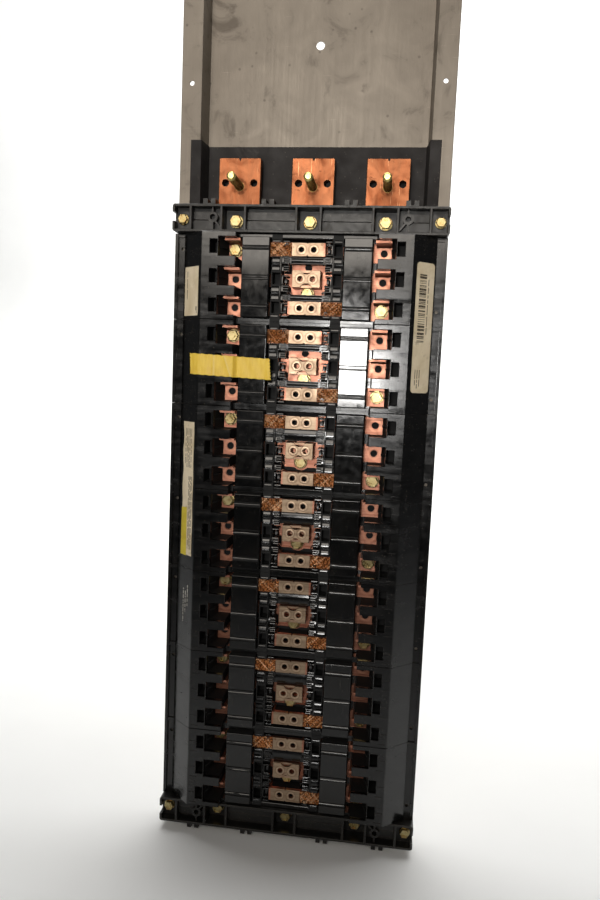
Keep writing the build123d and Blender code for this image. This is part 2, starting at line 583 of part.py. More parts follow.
def make_end_bracket():
    """The top bracket about its own screw line; the bottom one is the same part turned half a turn."""
    half = BRACKET_DEPTH / 2
    inside = BRACKET_DEPTH - 2 * BRACKET_WALL
    sheet_front = PAN_FLANGE_TOP + TRAY_GAP + TRAY_SHEET + 0.05
    shelf_back = BRACKET_LEDGE - 4
    foot_inner = TRAY_FLANGE_HALF + 0.3
    ear_outer = BRACKET_HALF - BRACKET_WALL
    long_x = BUS_PITCH / 2
    long_width = BUS_PITCH - 2 * BOLT_POCKET_HALF - 2 * BRACKET_WALL
    side_inner = BUS_PITCH + BOLT_POCKET_HALF + BRACKET_WALL
    side_outer = BRACKET_BODY_HALF - BRACKET_WALL
    shelves = [(-long_x, long_width), (long_x, long_width)]
    shelf_x = (BOSS_X + side_outer) / 2
    shelves += [(-shelf_x, side_outer - BOSS_X), (shelf_x, side_outer - BOSS_X)]
    with BuildPart() as bracket:
        with BuildSketch(FRONT.offset(BUS_FRONT)):
            Rectangle(2 * SUPPORT_HALF, BRACKET_DEPTH)
        extrude(amount=BRACKET_FRONT - BUS_FRONT)
        with BuildSketch(FRONT.offset(sheet_front)):
            RectangleRounded(2 * BRACKET_HALF, BRACKET_DEPTH, BRACKET_CORNER)
        extrude(amount=BRACKET_FRONT - sheet_front)
        # feet of the ears on the pan's flanges
        with BuildSketch(FRONT.offset(PAN_FLANGE_TOP)):
            for side in (-1, 1):
                with Locations((side * (foot_inner + BRACKET_HALF) / 2, 0)):
                    RectangleRounded(BRACKET_HALF - foot_inner, BRACKET_DEPTH, BRACKET_CORNER)
        extrude(amount=EAR_FRONT - PAN_FLANGE_TOP)
        # paired nubs along the outer long edge
        with BuildSketch(FRONT.offset(sheet_front)):
            for spread in NUB_SPREAD:
                for side in (-1, 1):
                    with Locations((side * spread, half + NUB_REACH / 2 - 0.5)):
                        Rectangle(11, NUB_REACH + 1)
                    with Locations((side * spread, half + NUB_REACH / 2 + 1)):
                        Rectangle(3, NUB_REACH, mode=Mode.SUBTRACT)
        extrude(amount=NUB_FRONT - sheet_front)
        # pockets of the bus bolts, of the corner screws, and the long and side pockets between them
        with BuildSketch(FRONT.offset(BRACKET_FLOOR)):
            with Locations(*[(x, 0) for x in BUS_BOLT_X]):
                Rectangle(2 * BOLT_POCKET_HALF, inside)
        extrude(amount=BRACKET_FRONT, mode=Mode.SUBTRACT)
        with BuildSketch(FRONT.offset(EAR_FRONT)):
            for side in (-1, 1):
                with Locations((side * (BRACKET_BODY_HALF + ear_outer) / 2, 0)):
                    Rectangle(ear_outer - BRACKET_BODY_HALF, inside)
                with Locations((side * BRACKET_HALF, 1)):
                    Rectangle(2 * BRACKET_WALL + 1, 8)
        extrude(amount=BRACKET_FRONT, mode=Mode.SUBTRACT)
        with BuildSketch(FRONT.offset(shelf_back)):
            with Locations((-long_x, 0), (long_x, 0)):
                Rectangle(long_width, inside)
            for side in (-1, 1):
                with Locations((side * (side_inner + side_outer) / 2, 0)):
                    Rectangle(side_outer - side_inner, inside)
        extrude(amount=BRACKET_FRONT, mode=Mode.SUBTRACT)
        # stepped shelves with a slit between them
        with BuildSketch(FRONT.offset(shelf_back)):
            for x, width in shelves:
                with Locations((x, -5.6)):
                    Rectangle(width, 8.4)
        extrude(amount=4.5)
        with BuildSketch(FRONT.offset(shelf_back)):
            for x, width in shelves:
                with Locations((x, 3.2)):
                    Rectangle(width, 6.4)
        extrude(amount=3)
        # screw bosses with their upright and slanted ribs
        with BuildSketch(FRONT.offset(shelf_back)):
            for side in (-1, 1):
                with Locations((side * BOSS_X, BOSS_LIFT)):
                    Circle(BOSS_DIAMETER / 2)
                with Locations((side * BOSS_X, 0)):
                    Rectangle(BRACKET_RIB, inside)
                with Locations((side * (BOSS_X - 4.2), -4.2)):
                    Rectangle(10, BRACKET_RIB, rotation=side * 50)
        extrude(amount=7.5)
        with BuildSketch(FRONT.offset(shelf_back)):
            with Locations((-BOSS_X, BOSS_LIFT), (BOSS_X, BOSS_LIFT)):
                Circle(BOSS_HOLE / 2)
        extrude(amount=BRACKET_FRONT, mode=Mode.SUBTRACT)
        with BuildSketch(FRONT.offset(BUS_FRONT - 1)):
            with Locations(*[(x, 0) for x in BUS_BOLT_X]):
                Circle(BOLT_SHANK / 2 + RUNNING_GAP)
            with Locations((-CORNER_SCREW_X, 0), (CORNER_SCREW_X, 0)):
                Circle(SCREW_SHANK / 2 + RUNNING_GAP)
        extrude(amount=BRACKET_FRONT, mode=Mode.SUBTRACT)
        rim = bracket.faces().filter_by(Axis.Y).sort_by(Axis.Y)[0]
        chamfer(rim.edges(), EDGE_BREAK)
    return bracket.part


def make_hex_screw(seat, flange, flats, head, shank, length):
    """A flanged hex screw on the Y axis: its flange sits at the given height and its shank goes back."""
    front = seat + HEAD_FLANGE + head
    with BuildPart() as screw:
        with BuildSketch(FRONT.offset(seat)):
            Circle(flange / 2)
        extrude(amount=HEAD_FLANGE)
        chamfer(screw.faces().sort_by(Axis.Y)[0].edges(), 0.5)
        with BuildSketch(FRONT.offset(seat)):
            RegularPolygon(flats / 2, 6, major_radius=False)
        extrude(amount=HEAD_FLANGE + head)
        chamfer(screw.faces().sort_by(Axis.Y)[0].edges(), 0.55)
        with BuildSketch(FRONT.offset(front - 0.5)):
            Circle(flats * 0.36)
        extrude(amount=0.5, mode=Mode.SUBTRACT)
        with BuildSketch(FRONT.offset(seat)):
            Circle(shank / 2)
        extrude(amount=-length)
    return screw.part


def make_stud(phase):
    """Line stud: a hex head behind the bus pad, a shoulder in it and a shank that stands out in front."""
    place = (BUS_CENTRES[phase], STUD_Z)
    head_back = BUS_BACK - STUD_HEAD
    relief_back = BUS_FRONT - STUD_RELIEF
    relief_front = BUS_FRONT + STUD_RELIEF
    turned = [
        (STUD_SHOULDER_DIAMETER, head_back, relief_back),
        (STUD_RELIEF_DIAMETER, relief_back, relief_front),
        (STUD_DIAMETER, relief_front, STUD_TIP),
    ]
    with BuildPart() as stud:
        for diameter, back, front in turned:
            with BuildSketch(FRONT.offset(back)):
                with Locations(place):
                    Circle(diameter / 2)
            extrude(amount=front - back)
        chamfer(stud.faces().sort_by(Axis.Y)[0].edges(), STUD_TIP_CHAMFER)
        with BuildSketch(FRONT.offset(head_back)):
            with Locations(place):
                RegularPolygon(STUD_HEAD_FLATS / 2, 6, major_radius=False)
        extrude(amount=STUD_HEAD - RUNNING_GAP)
    return stud.part


def make_group(screw, places):
    """The same screw at every (x, z) place, as separate solids of one group."""
    with BuildPart() as group:
        with Locations(*[(x, 0, z) for x, z in places]):
            add(screw)
    return group.part


def save(part, name, z=0.0, x=0.0, turned=False):
    placed = part.rotate(Axis.Y, 180) if turned else part
    placed = placed.moved(Location((x, 0, z)))
    placed.label = name
    export_step(placed, f"parts/{name}.step")


def main():
    os.makedirs("parts", exist_ok=True)
    save(make_pan(), "back_pan")
    save(make_tray(), "insulating_tray")
    for phase in BUS_CENTRES:
        save(make_bus(phase), f"bus_bar_{phase}")
        save(make_stud(phase), f"line_stud_{phase}")
    save(make_bus_support(TOP_SCREWS_Z), "top_bus_support")
    save(make_bus_support(BOTTOM_SCREWS_Z), "bottom_bus_support")

    bracket = make_end_bracket()
    save(bracket, "top_end_bracket", z=TOP_SCREWS_Z)
    save(bracket, "bottom_end_bracket", z=BOTTOM_SCREWS_Z, turned=True)

    narrow_bar_base = make_module_base(False)
    wide_bar_base = make_module_base(True)
    straps = (make_offset_strap(-1), make_centre_strap(), make_offset_strap(1))
    covers = {"left": make_cover(-1), "right": make_cover(1)}
    for number, z in enumerate(MODULE_CENTRES, start=1):
        save(narrow_bar_base if number <= 2 else wide_bar_base, f"module_base_{number}", z=z)
        for phase, strap, row in zip(BUS_CENTRES, straps, ROWS):
            save(strap, f"branch_strap_{number}{phase}", z=z + row)
        for side, cover in covers.items():
            save(cover, f"{side}_cover_{number}", z=z)

    strap_bolt = make_hex_screw(TAB_FRONT, BOLT_FLANGE, BOLT_FLATS, HEAD_HEIGHT, BOLT_SHANK, 10.5)
    taps = [(BUS_CENTRES[p], z + TAP_OFFSETS[p]) for z in MODULE_CENTRES for p in BUS_CENTRES]
    save(make_group(strap_bolt, taps), "strap_bolts")
    bus_bolt = make_hex_screw(BRACKET_FLOOR, BOLT_FLANGE, BOLT_FLATS, HEAD_HEIGHT, BOLT_SHANK, 13.0)
    ends = [(x, z) for z in (TOP_SCREWS_Z, BOTTOM_SCREWS_Z) for x in BUS_BOLT_X]
    save(make_group(bus_bolt, ends), "bus_bolts")
    corner_screw = make_hex_screw(EAR_FRONT, SCREW_FLANGE, SCREW_FLATS, 3.4, SCREW_SHANK, 14.0)
    for end, z in (("top", TOP_SCREWS_Z), ("bottom", BOTTOM_SCREWS_Z)):
        for side, x in (("left", -CORNER_SCREW_X), ("right", CORNER_SCREW_X)):
            save(corner_screw, f"{end}_{side}_corner_screw", z=z, x=x)


main()
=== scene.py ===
import json
import math
import random

import bmesh
import bpy
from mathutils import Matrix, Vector


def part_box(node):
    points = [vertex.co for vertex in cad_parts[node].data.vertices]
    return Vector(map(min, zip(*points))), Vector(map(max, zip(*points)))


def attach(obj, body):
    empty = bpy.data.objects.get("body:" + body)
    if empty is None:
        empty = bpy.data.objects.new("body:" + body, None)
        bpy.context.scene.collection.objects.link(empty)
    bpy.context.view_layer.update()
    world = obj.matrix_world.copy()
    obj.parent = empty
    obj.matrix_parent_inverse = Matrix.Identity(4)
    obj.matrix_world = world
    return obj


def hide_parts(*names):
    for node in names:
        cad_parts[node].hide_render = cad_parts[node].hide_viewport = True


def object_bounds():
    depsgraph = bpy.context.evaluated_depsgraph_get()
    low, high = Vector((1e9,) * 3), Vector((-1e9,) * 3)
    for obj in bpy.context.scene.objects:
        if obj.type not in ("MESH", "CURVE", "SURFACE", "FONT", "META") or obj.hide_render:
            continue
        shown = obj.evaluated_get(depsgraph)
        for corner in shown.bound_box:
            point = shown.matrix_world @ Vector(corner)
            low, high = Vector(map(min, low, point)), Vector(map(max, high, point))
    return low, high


# Looks of a panelboard interior. Every place is in metres in the frame of the CAD model: X runs
# across, Z up along the buses and -Y points to the front. Sizes that this script needs are given in
# millimetres, and a "height" is a distance in front of the pan's flat back, so y = -height.

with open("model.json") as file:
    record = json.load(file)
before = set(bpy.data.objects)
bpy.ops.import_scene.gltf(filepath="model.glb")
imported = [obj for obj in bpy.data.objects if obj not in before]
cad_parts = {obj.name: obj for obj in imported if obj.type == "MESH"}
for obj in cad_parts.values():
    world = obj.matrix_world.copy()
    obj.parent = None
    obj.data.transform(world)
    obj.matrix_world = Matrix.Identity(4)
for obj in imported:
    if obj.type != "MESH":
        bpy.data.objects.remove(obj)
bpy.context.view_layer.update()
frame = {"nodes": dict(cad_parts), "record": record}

MM = 0.001
BODY = "chassis"
PHASES = ("a", "b", "c")
MODULES = range(1, 8)
ROW_PITCH = 25.4
BUS_PITCH = 66.7

# ---------------------------------------------------------------- sizes the pieces are built to

TERMINAL_X = 5.5
BLOCK_HALF = 14.0
STRAP_HALF = 6.0
RAIL_TOP = 35.0
RAIL_HALF = 31.0
COVER_INNER = 32.8
WALL_TOP = (94.0, 45.0)
WALL_FOOT = (112.3, 29.5)
PLATFORM_OUTER = 93.3
PLATFORM_TOP = 46.0
PLATFORM_INNER = 62.0
COVER_OUTER = 57.2
COVER_FRONT = 41.0


def centre(node):
    """The middle of a CAD node's box, in millimetres."""
    low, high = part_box(node)
    return (low + high) / 2 / MM


def module_z(number):
    return centre(f"module_base_{number}").z


def row_z(number, phase):
    return centre(f"branch_strap_{number}{phase}").z


# ---------------------------------------------------------------- materials

def shade(code):
    """A linear colour from a display colour such as "c46a3c"."""
    parts = [int(code[i:i + 2], 16) / 255 for i in (0, 2, 4)]
    linear = [p / 12.92 if p <= 0.04045 else ((p + 0.055) / 1.055) ** 2.4 for p in parts]
    return (*linear, 1.0)


class Finish:
    """One procedural material: short ways to add and join its nodes."""

    def __init__(self, name, metallic=0.0, specular=0.5):
        self.material = bpy.data.materials.new(name)
        self.material.use_nodes = True
        self.tree = self.material.node_tree
        self.shader = self.tree.nodes["Principled BSDF"]
        self.shader.inputs["Metallic"].default_value = metallic
        self.shader.inputs["Specular IOR Level"].default_value = specular
        self.place = self.node("ShaderNodeTexCoord").outputs["Object"]
        axes = self.node("ShaderNodeSeparateXYZ", {"Vector": self.place})
        self.x, self.y, self.z = axes.outputs

    def node(self, kind, inputs=None, **settings):
        node = self.tree.nodes.new(kind)
        for key, value in settings.items():
            setattr(node, key, value)
        for key, value in (inputs or {}).items():
            self.feed(node.inputs[key], value)
        return node

    def feed(self, socket, value):
        if isinstance(value, bpy.types.NodeSocket):
            self.tree.links.new(value, socket)
        else:
            socket.default_value = value

    def math(self, operation, a, b=0.0):
        return self.node("ShaderNodeMath", {0: a, 1: b}, operation=operation).outputs[0]

    def span(self, value, low, high, to_low=0.0, to_high=1.0):
        """The value's stretch from low to high, spread from to_low to to_high and kept inside them."""
        inputs = {"Value": value, "From Min": low, "From Max": high, "To Min": to_low, "To Max": to_high}
        return self.node("ShaderNodeMapRange", inputs).outputs["Result"]

    def blend(self, factor, a, b, kind="MIX"):
        mixer = self.node("ShaderNodeMix", data_type="RGBA", blend_type=kind)
        for index, value in ((0, factor), (6, a), (7, b)):
            self.feed(mixer.inputs[index], value)
        return mixer.outputs[2]

    def mapped(self, stretch, turn):
        inputs = {"Vector": self.place, "Scale": stretch, "Rotation": turn}
        return self.node("ShaderNodeMapping", inputs).outputs["Vector"]

    def noise(self, scale, detail=3.0, rough=0.5, stretch=None, turn=(0, 0, 0), warp=0.0):
        """Noise whose grains are about 1 / scale metres across, or stretched per axis."""
        vector = self.mapped(stretch, turn) if stretch else self.place
        inputs = {"Vector": vector, "Scale": scale, "Detail": detail, "Roughness": rough, "Distortion": warp}
        return self.node("ShaderNodeTexNoise", inputs).outputs["Fac"]

    def specks(self, scale, size):
        """Small separate dots, one at most in each cell."""
        cells = self.node("ShaderNodeTexVoronoi", {"Vector": self.place, "Scale": scale, "Randomness": 1.0})
        return self.span(cells.outputs["Distance"], size, size * 0.4)

    def worn_edge(self, radius_mm):
        """1 along the edges within a radius of them, broken up by a fine noise."""
        round_normal = self.node("ShaderNodeBevel", {"Radius": radius_mm * MM}, samples=4).outputs["Normal"]
        flat_normal = self.node("ShaderNodeNewGeometry").outputs["Normal"]
        inputs = {0: round_normal, 1: flat_normal}
        match = self.node("ShaderNodeVectorMath", inputs, operation="DOT_PRODUCT").outputs["Value"]
        edge = self.span(match, 0.985, 0.86)
        return self.math("MULTIPLY", edge, self.span(self.noise(420, 3), 0.38, 0.62, 0.25, 1.0))

    def bump(self, height, distance_mm, under=None):
        inputs = {"Height": height, "Distance": distance_mm * MM, "Strength": 1.0}
        if under is not None:
            inputs["Normal"] = under
        return self.node("ShaderNodeBump", inputs).outputs["Normal"]

    def done(self, colour, roughness, normal=None):
        self.feed(self.shader.inputs["Base Color"], colour)
        self.feed(self.shader.inputs["Roughness"], roughness)
        if normal is not None:
            self.feed(self.shader.inputs["Normal"], normal)
        return self.material

    def ring(self, x_place, z_place, radius, width):
        """1 on a ring about a point of the front, from coordinates in millimetres."""
        across = self.math("SUBTRACT", x_place[0], x_place[1])
        along = self.math("SUBTRACT", z_place[0], z_place[1])
        squares = self.math("ADD", self.math("MULTIPLY", across, across), self.math("MULTIPLY", along, along))
        gap = self.math("ABSOLUTE", self.math("SUBTRACT", self.math("SQRT", squares), radius))
        return self.span(gap, width, width * 0.3)

    def between(self, value, low, high, soft=0.2):
        """1 where a value lies between two others."""
        over = self.span(value, low, low + soft)
        return self.math("MULTIPLY", over, self.span(value, high, high - soft))

    def off_middle(self):
        """Distance from the middle plane, in millimetres."""
        return self.math("MULTIPLY", self.math("ABSOLUTE", self.x), 1 / MM)

    def height(self):
        """Distance in front of the pan's back, in millimetres."""
        return self.math("MULTIPLY", self.y, -1 / MM)

    def row_places(self, start_mm):
        """|x|, and z from the nearest of the rows that repeat from start, both in millimetres."""
        across = self.off_middle()
        along = self.math("MULTIPLY", self.z, 1 / MM)
        shifted = self.math("SUBTRACT", along, start_mm - ROW_PITCH / 2)
        wrapped = self.math("FLOORED_MODULO", shifted, ROW_PITCH)
        return across, self.math("SUBTRACT", wrapped, ROW_PITCH / 2)


def pan_steel():
    f = Finish("pan_steel", metallic=0.35)
    colour = f.blend(f.span(f.noise(7, 5, 0.6), 0.35, 0.65), shade("958c80"), shade("7f766b"))
    rolled = f.noise(1, 4, 0.6, stretch=(620, 620, 14))
    colour = f.blend(f.span(rolled, 0.3, 0.7, 0.0, 0.5), colour, shade("9a9083"))
    smudge = f.noise(26, 6, 0.65, warp=1.4)
    colour = f.blend(f.span(smudge, 0.56, 0.70, 0.0, 0.55), colour, shade("544a40"))
    handled = f.noise(60, 5, 0.7, stretch=(1.0, 1.0, 0.5))
    colour = f.blend(f.span(handled, 0.62, 0.74, 0.0, 0.45), colour, shade("4a4138"))
    scratch = f.noise(1, 2, 0.5, stretch=(40, 40, 1400), turn=(0, math.radians(52), 0))
    colour = f.blend(f.span(scratch, 0.715, 0.74, 0.0, 0.5), colour, shade("b3a89a"))
    colour = f.blend(f.math("MULTIPLY", f.specks(60, 0.1), 0.55), colour, shade("4a4037"))
    rust = f.span(f.noise(18, 6, 0.7), 0.66, 0.74, 0.0, 0.5)
    colour = f.blend(rust, colour, shade("6e4a33"))
    colour = f.blend(f.math("MULTIPLY", f.worn_edge(0.9), 0.5), colour, shade("a79c8e"))
    roughness = f.span(f.math("ADD", smudge, rolled), 0.7, 1.3, 0.46, 0.68)
    normal = f.bump(f.noise(5, 2), 0.5)
    normal = f.bump(rolled, 0.02, normal)
    return f.done(colour, roughness, f.bump(f.noise(900, 2), 0.012, normal))


def tray_sheet():
    f = Finish("tray_sheet", specular=0.35)
    colour = f.blend(f.span(f.noise(14, 5), 0.35, 0.65), shade("302d2c"), shade("262322"))
    colour = f.blend(f.math("MULTIPLY", f.specks(240, 0.13), 0.5), colour, shade("6d655b"))
    colour = f.blend(f.span(f.noise(40, 6, 0.7, warp=1.0), 0.6, 0.72, 0.0, 0.4), colour, shade("504a45"))
    colour = f.blend(f.math("MULTIPLY", f.worn_edge(0.5), 0.6), colour, shade("5c5650"))
    weave = f.noise(1300, 3, 0.6)
    return f.done(colour, f.span(f.noise(70, 4), 0.3, 0.7, 0.62, 0.85), f.bump(weave, 0.035))


def bus_copper():
    f = Finish("bus_copper", metallic=0.92)
    grain = f.noise(1, 5, 0.65, stretch=(260, 900, 60))
    colour = f.blend(f.span(grain, 0.34, 0.66, 0.0, 0.8), shade("8c5335"), shade("aa6e4b"))
    patch = f.noise(55, 5, 0.6, warp=0.8)
    colour = f.blend(f.span(patch, 0.5, 0.7, 0.0, 0.7), colour, shade("7d4023"))
    blot = f.noise(170, 5, 0.7, warp=0.6)
    colour = f.blend(f.span(blot, 0.6, 0.68, 0.0, 0.75), colour, shade("57301f"))
    across = f.off_middle()
    along = f.math("MULTIPLY", f.z, 1 / MM)
    stud = centre("line_stud_b").z
    near = f.math("MAXIMUM", f.ring((across, BUS_PITCH), (along, stud), 5.6, 2.4),
                  f.ring((across, 0.0), (along, stud), 5.6, 2.4))
    stain = f.math("MULTIPLY", near, f.span(f.noise(300, 4), 0.4, 0.6, 0.1, 0.8))
    colour = f.blend(stain, colour, shade("4d2813"))
    scratch = f.noise(1, 2, 0.5, stretch=(1500, 1500, 60), turn=(0, math.radians(31), 0))
    colour = f.blend(f.span(scratch, 0.69, 0.72, 0.0, 0.6), colour, shade("f0b585"))
    colour = f.blend(f.math("MULTIPLY", f.worn_edge(0.5), 0.7), colour, shade("e0a075"))
    roughness = f.span(f.math("ADD", grain, patch), 0.8, 1.25, 0.38, 0.6)
    normal = f.bump(grain, 0.02)
    return f.done(colour, roughness, f.bump(blot, 0.04, normal))


def strap_copper():
    f = Finish("strap_copper", metallic=0.9)
    grain = f.noise(1, 4, 0.6, stretch=(34, 700, 700))
    colour = f.blend(f.span(grain, 0.35, 0.65), shade("96604c"), shade("b98570"))
    tarnish = f.noise(75, 5, 0.65, warp=0.9)
    colour = f.blend(f.span(tarnish, 0.5, 0.68, 0.0, 0.6), colour, shade("80503d"))
    plated = f.math("MULTIPLY", f.span(f.height(), 33.3, 34.2), f.span(f.off_middle(), 14.6, 13.6))
    pale = f.blend(f.span(grain, 0.35, 0.65), shade("8f7a65"), shade("ab957d"))
    pale = f.blend(f.span(f.noise(140, 5, 0.65), 0.5, 0.7, 0.0, 0.6), pale, shade("7a6049"))
    colour = f.blend(plated, colour, pale)
    colour = f.blend(f.span(f.noise(210, 5, 0.7), 0.6, 0.7, 0.0, 0.7), colour, shade("5b3424"))
    rows = f.row_places(row_z(1, "a"))
    polished = f.ring((rows[0], TERMINAL_X), (rows[1], 0.0), 3.3, 0.8)
    bitten = f.ring((rows[0], TERMINAL_X), (rows[1], 0.0), 4.6, 0.6)
    colour = f.blend(f.math("MULTIPLY", polished, 0.3), colour, shade("dcc2a6"))
    colour = f.blend(f.math("MULTIPLY", bitten, 0.35), colour, shade("6e4a36"))
    clamped = f.ring((rows[0], BUS_PITCH), (rows[1], 0.0), 5.0, 1.6)
    colour = f.blend(f.math("MULTIPLY", clamped, 0.35), colour, shade("d59a7c"))
    colour = f.blend(f.math("MULTIPLY", f.worn_edge(0.45), 0.7), colour, shade("dba78b"))
    roughness = f.span(f.math("ADD", grain, tarnish), 0.8, 1.3, 0.32, 0.56)
    marks = f.math("SUBTRACT", polished, bitten)
    normal = f.bump(grain, 0.018)
    normal = f.bump(marks, 0.05, normal)
    return f.done(colour, roughness, f.bump(f.noise(420, 3), 0.02, normal))


def braid_copper():
    f = Finish("braid_copper", metallic=1.0)
    # Painted sparkle: a fine noise paints bright glints and dark specks into the copper's colour, and a value
    # for each strand paints a pale highlight on some strands.
    strand_highlight = f.node("ShaderNodeAttribute", attribute_name="wear_and_highlight").outputs["Fac"]
    glint = f.noise(900, 4, 0.7)
    colour = f.blend(f.span(glint, 0.36, 0.64), shade("78421f"), shade("dc935c"))
    colour = f.blend(f.span(f.noise(620, 2, 0.5), 0.44, 0.56, 0.85, 0.0), colour, shade("34180b"))
    colour = f.blend(f.span(strand_highlight, 0.7, 1.0, 0.0, 0.8), colour, shade("ffd6aa"))
    colour = f.blend(f.span(f.noise(170, 4), 0.58, 0.72, 0.0, 0.6), colour, shade("40200f"))
    return f.done(colour, f.span(glint, 0.3, 0.7, 0.22, 0.45), f.bump(f.noise(2600, 2), 0.05))


def stud_bronze():
    f = Finish("stud_bronze", metallic=0.95)
    wear_and_highlight = f.node("ShaderNodeAttribute", attribute_name="wear_and_highlight").outputs["Fac"]
    crest = f.span(f.math("ADD", wear_and_highlight, f.span(f.noise(500, 3), 0, 1, -0.3, 0.3)), 0.35, 1.0)
    colour = f.blend(crest, shade("33281a"), shade("a58447"))
    colour = f.blend(f.span(f.noise(260, 4), 0.5, 0.66, 0.0, 0.6), colour, shade("4a3c22"))
    bright = f.span(f.math("ADD", f.height(), f.span(f.noise(350, 3), 0, 1, -2.0, 2.0)), 47.5, 50.0)
    colour = f.blend(bright, colour, shade("ecd98c"))
    colour = f.blend(f.math("MULTIPLY", f.worn_edge(0.3), 0.5), colour, shade("d8bd76"))
    return f.done(colour, f.span(f.noise(420, 3), 0.3, 0.7, 0.24, 0.5), f.bump(f.noise(900, 3), 0.03))


def gloss_cover():
    f = Finish("gloss_cover", specular=0.55)
    film = f.noise(24, 6, 0.62, warp=1.2)
    colour = f.blend(f.span(film, 0.42, 0.68, 0.0, 0.6), shade("060606"), shade("14110d"))
    colour = f.blend(f.math("MULTIPLY", f.specks(300, 0.11), 0.7), colour, shade("5d564c"))
    hair = f.noise(1, 2, 0.5, stretch=(1300, 1300, 70), turn=(0, math.radians(20), 0))
    colour = f.blend(f.span(hair, 0.71, 0.73, 0.0, 0.25), colour, shade("5b564e"))
    colour = f.blend(f.math("MULTIPLY", f.worn_edge(0.5), 0.5), colour, shade("3f3b36"))
    # Painted shade: the insides of the grooves, behind the cover's front, are darkened to near black and made
    # rough.
    groove_shade = f.span(f.height(), COVER_FRONT - 0.25, COVER_FRONT - 0.6)
    colour = f.blend(groove_shade, colour, shade("030303"))
    roughness = f.span(f.math("ADD", film, f.noise(190, 4)), 0.75, 1.25, 0.07, 0.17)
    roughness = f.math("MAXIMUM", roughness, f.math("MULTIPLY", groove_shade, 0.8))
    normal = f.bump(f.noise(16, 2), 0.2)
    normal = f.bump(f.noise(85, 2), 0.015, normal)
    return f.done(colour, roughness, normal)


def moulded_black(name, rough_low, rough_high, wobble, shade_and_dull_rails):
    """Black moulded plastic: flow lines, dust and rubbed edges, with painted shade down in its recesses,
    which are also made rougher.
    """
    f = Finish(name, specular=0.5)
    flow = f.noise(1, 4, 0.6, stretch=(18, 60, 190))
    colour = f.blend(f.span(flow, 0.4, 0.7, 0.0, 0.6), shade("070707"), shade("131110"))
    dust = f.noise(48, 6, 0.7, warp=1.0)
    colour = f.blend(f.span(dust, 0.58, 0.74, 0.0, 0.3), colour, shade("2e2921"))
    colour = f.blend(f.math("MULTIPLY", f.specks(260, 0.12), 0.7), colour, shade("5f584c"))
    colour = f.blend(f.math("MULTIPLY", f.worn_edge(0.45), 0.55), colour, shade("3b3732"))
    # Painted shade: the channel floor, the rail tops (when asked) and the inside of the side recesses are
    # darkened to near black, and the same mask makes them rougher.
    away, height = f.off_middle(), f.height()
    low = f.span(height, 31.6, 30.4)
    rails = f.between(height, RAIL_TOP - 0.7, RAIL_TOP + 1.0, 0.3) if shade_and_dull_rails else 0.0
    channel = f.math("MULTIPLY", f.span(away, 33.0, 32.4), f.math("MAXIMUM", low, rails))
    recess = f.math("MULTIPLY", f.between(away, 60.0, 86.0, 0.5), f.span(height, 44.5, 41.0))
    painted_shade = f.math("MAXIMUM", channel, recess)
    colour = f.blend(painted_shade, colour, shade("030303"))
    roughness = f.span(f.math("ADD", flow, dust), 0.75, 1.25, rough_low, rough_high)
    roughness = f.math("MAXIMUM", roughness, f.math("MULTIPLY", painted_shade, 0.75))
    normal = f.bump(f.noise(1, 2, stretch=(9, 20, 40)), wobble)
    return f.done(colour, roughness, f.bump(f.noise(260, 3), 0.012, normal))


def bracket_moulding():
    f = Finish("bracket_moulding", specular=0.45)
    colour = f.blend(f.span(f.noise(30, 5), 0.35, 0.65), shade("100f0e"), shade("1a1815"))
    dust = f.noise(70, 6, 0.7, warp=1.3)
    colour = f.blend(f.span(dust, 0.56, 0.72, 0.0, 0.45), colour, shade("39332b"))
    colour = f.blend(f.math("MULTIPLY", f.specks(330, 0.12), 0.6), colour, shade("8d8474"))
    colour = f.blend(f.math("MULTIPLY", f.worn_edge(0.5), 0.75), colour, shade("6a645a"))
    roughness = f.span(dust, 0.35, 0.65, 0.3, 0.55)
    return f.done(colour, roughness, f.bump(f.noise(700, 3), 0.02, f.bump(f.noise(45, 2), 0.1)))


def support_moulding():
    f = Finish("support_moulding", specular=0.4)
    colour = f.blend(f.span(f.noise(60, 5), 0.35, 0.65), shade("2b2624"), shade("3d3733"))
    colour = f.blend(f.math("MULTIPLY", f.worn_edge(0.5), 0.6), colour, shade("6d665c"))
    return f.done(colour, f.span(f.noise(90, 4), 0.3, 0.7, 0.5, 0.75), f.bump(f.noise(600, 3), 0.04))


def yellow_zinc():
    f = Finish("yellow_zinc", metallic=1.0)
    tint = f.noise(150, 4, 0.6, warp=1.5)
    colour = f.blend(f.span(tint, 0.35, 0.6), shade("8a7748"), shade("aea075"))
    colour = f.blend(f.span(f.noise(240, 4, 0.6), 0.52, 0.66, 0.0, 0.6), colour, shade("96663f"))
    colour = f.blend(f.span(f.noise(310, 5, 0.7), 0.6, 0.7, 0.0, 0.7), colour, shade("54431f"))
    colour = f.blend(f.math("MULTIPLY", f.worn_edge(0.35), 0.9), colour, shade("d8cba0"))
    turned = f.noise(1, 3, 0.5, stretch=(300, 2200, 300))
    return f.done(colour, f.span(tint, 0.3, 0.7, 0.22, 0.42), f.bump(turned, 0.015))


def label_paper(name, pale, dark):
    f = Finish(name, specular=0.35)
    colour = f.blend(f.span(f.noise(40, 6, 0.65, warp=0.8), 0.4, 0.7), shade(pale), shade(dark))
    colour = f.blend(f.span(f.noise(160, 5, 0.7), 0.58, 0.7, 0.0, 0.5), colour, shade("8a7a60"))
    colour = f.blend(f.math("MULTIPLY", f.specks(420, 0.12), 0.6), colour, shade("5c4f3f"))
    colour = f.blend(f.math("MULTIPLY", f.worn_edge(0.8), 0.5), colour, shade("7d6d55"))
    fibre = f.noise(1500, 4, 0.6)
    cockled = f.bump(f.noise(90, 2), 0.08)
    return f.done(colour, f.span(fibre, 0.3, 0.7, 0.45, 0.7), f.bump(fibre, 0.02, cockled))


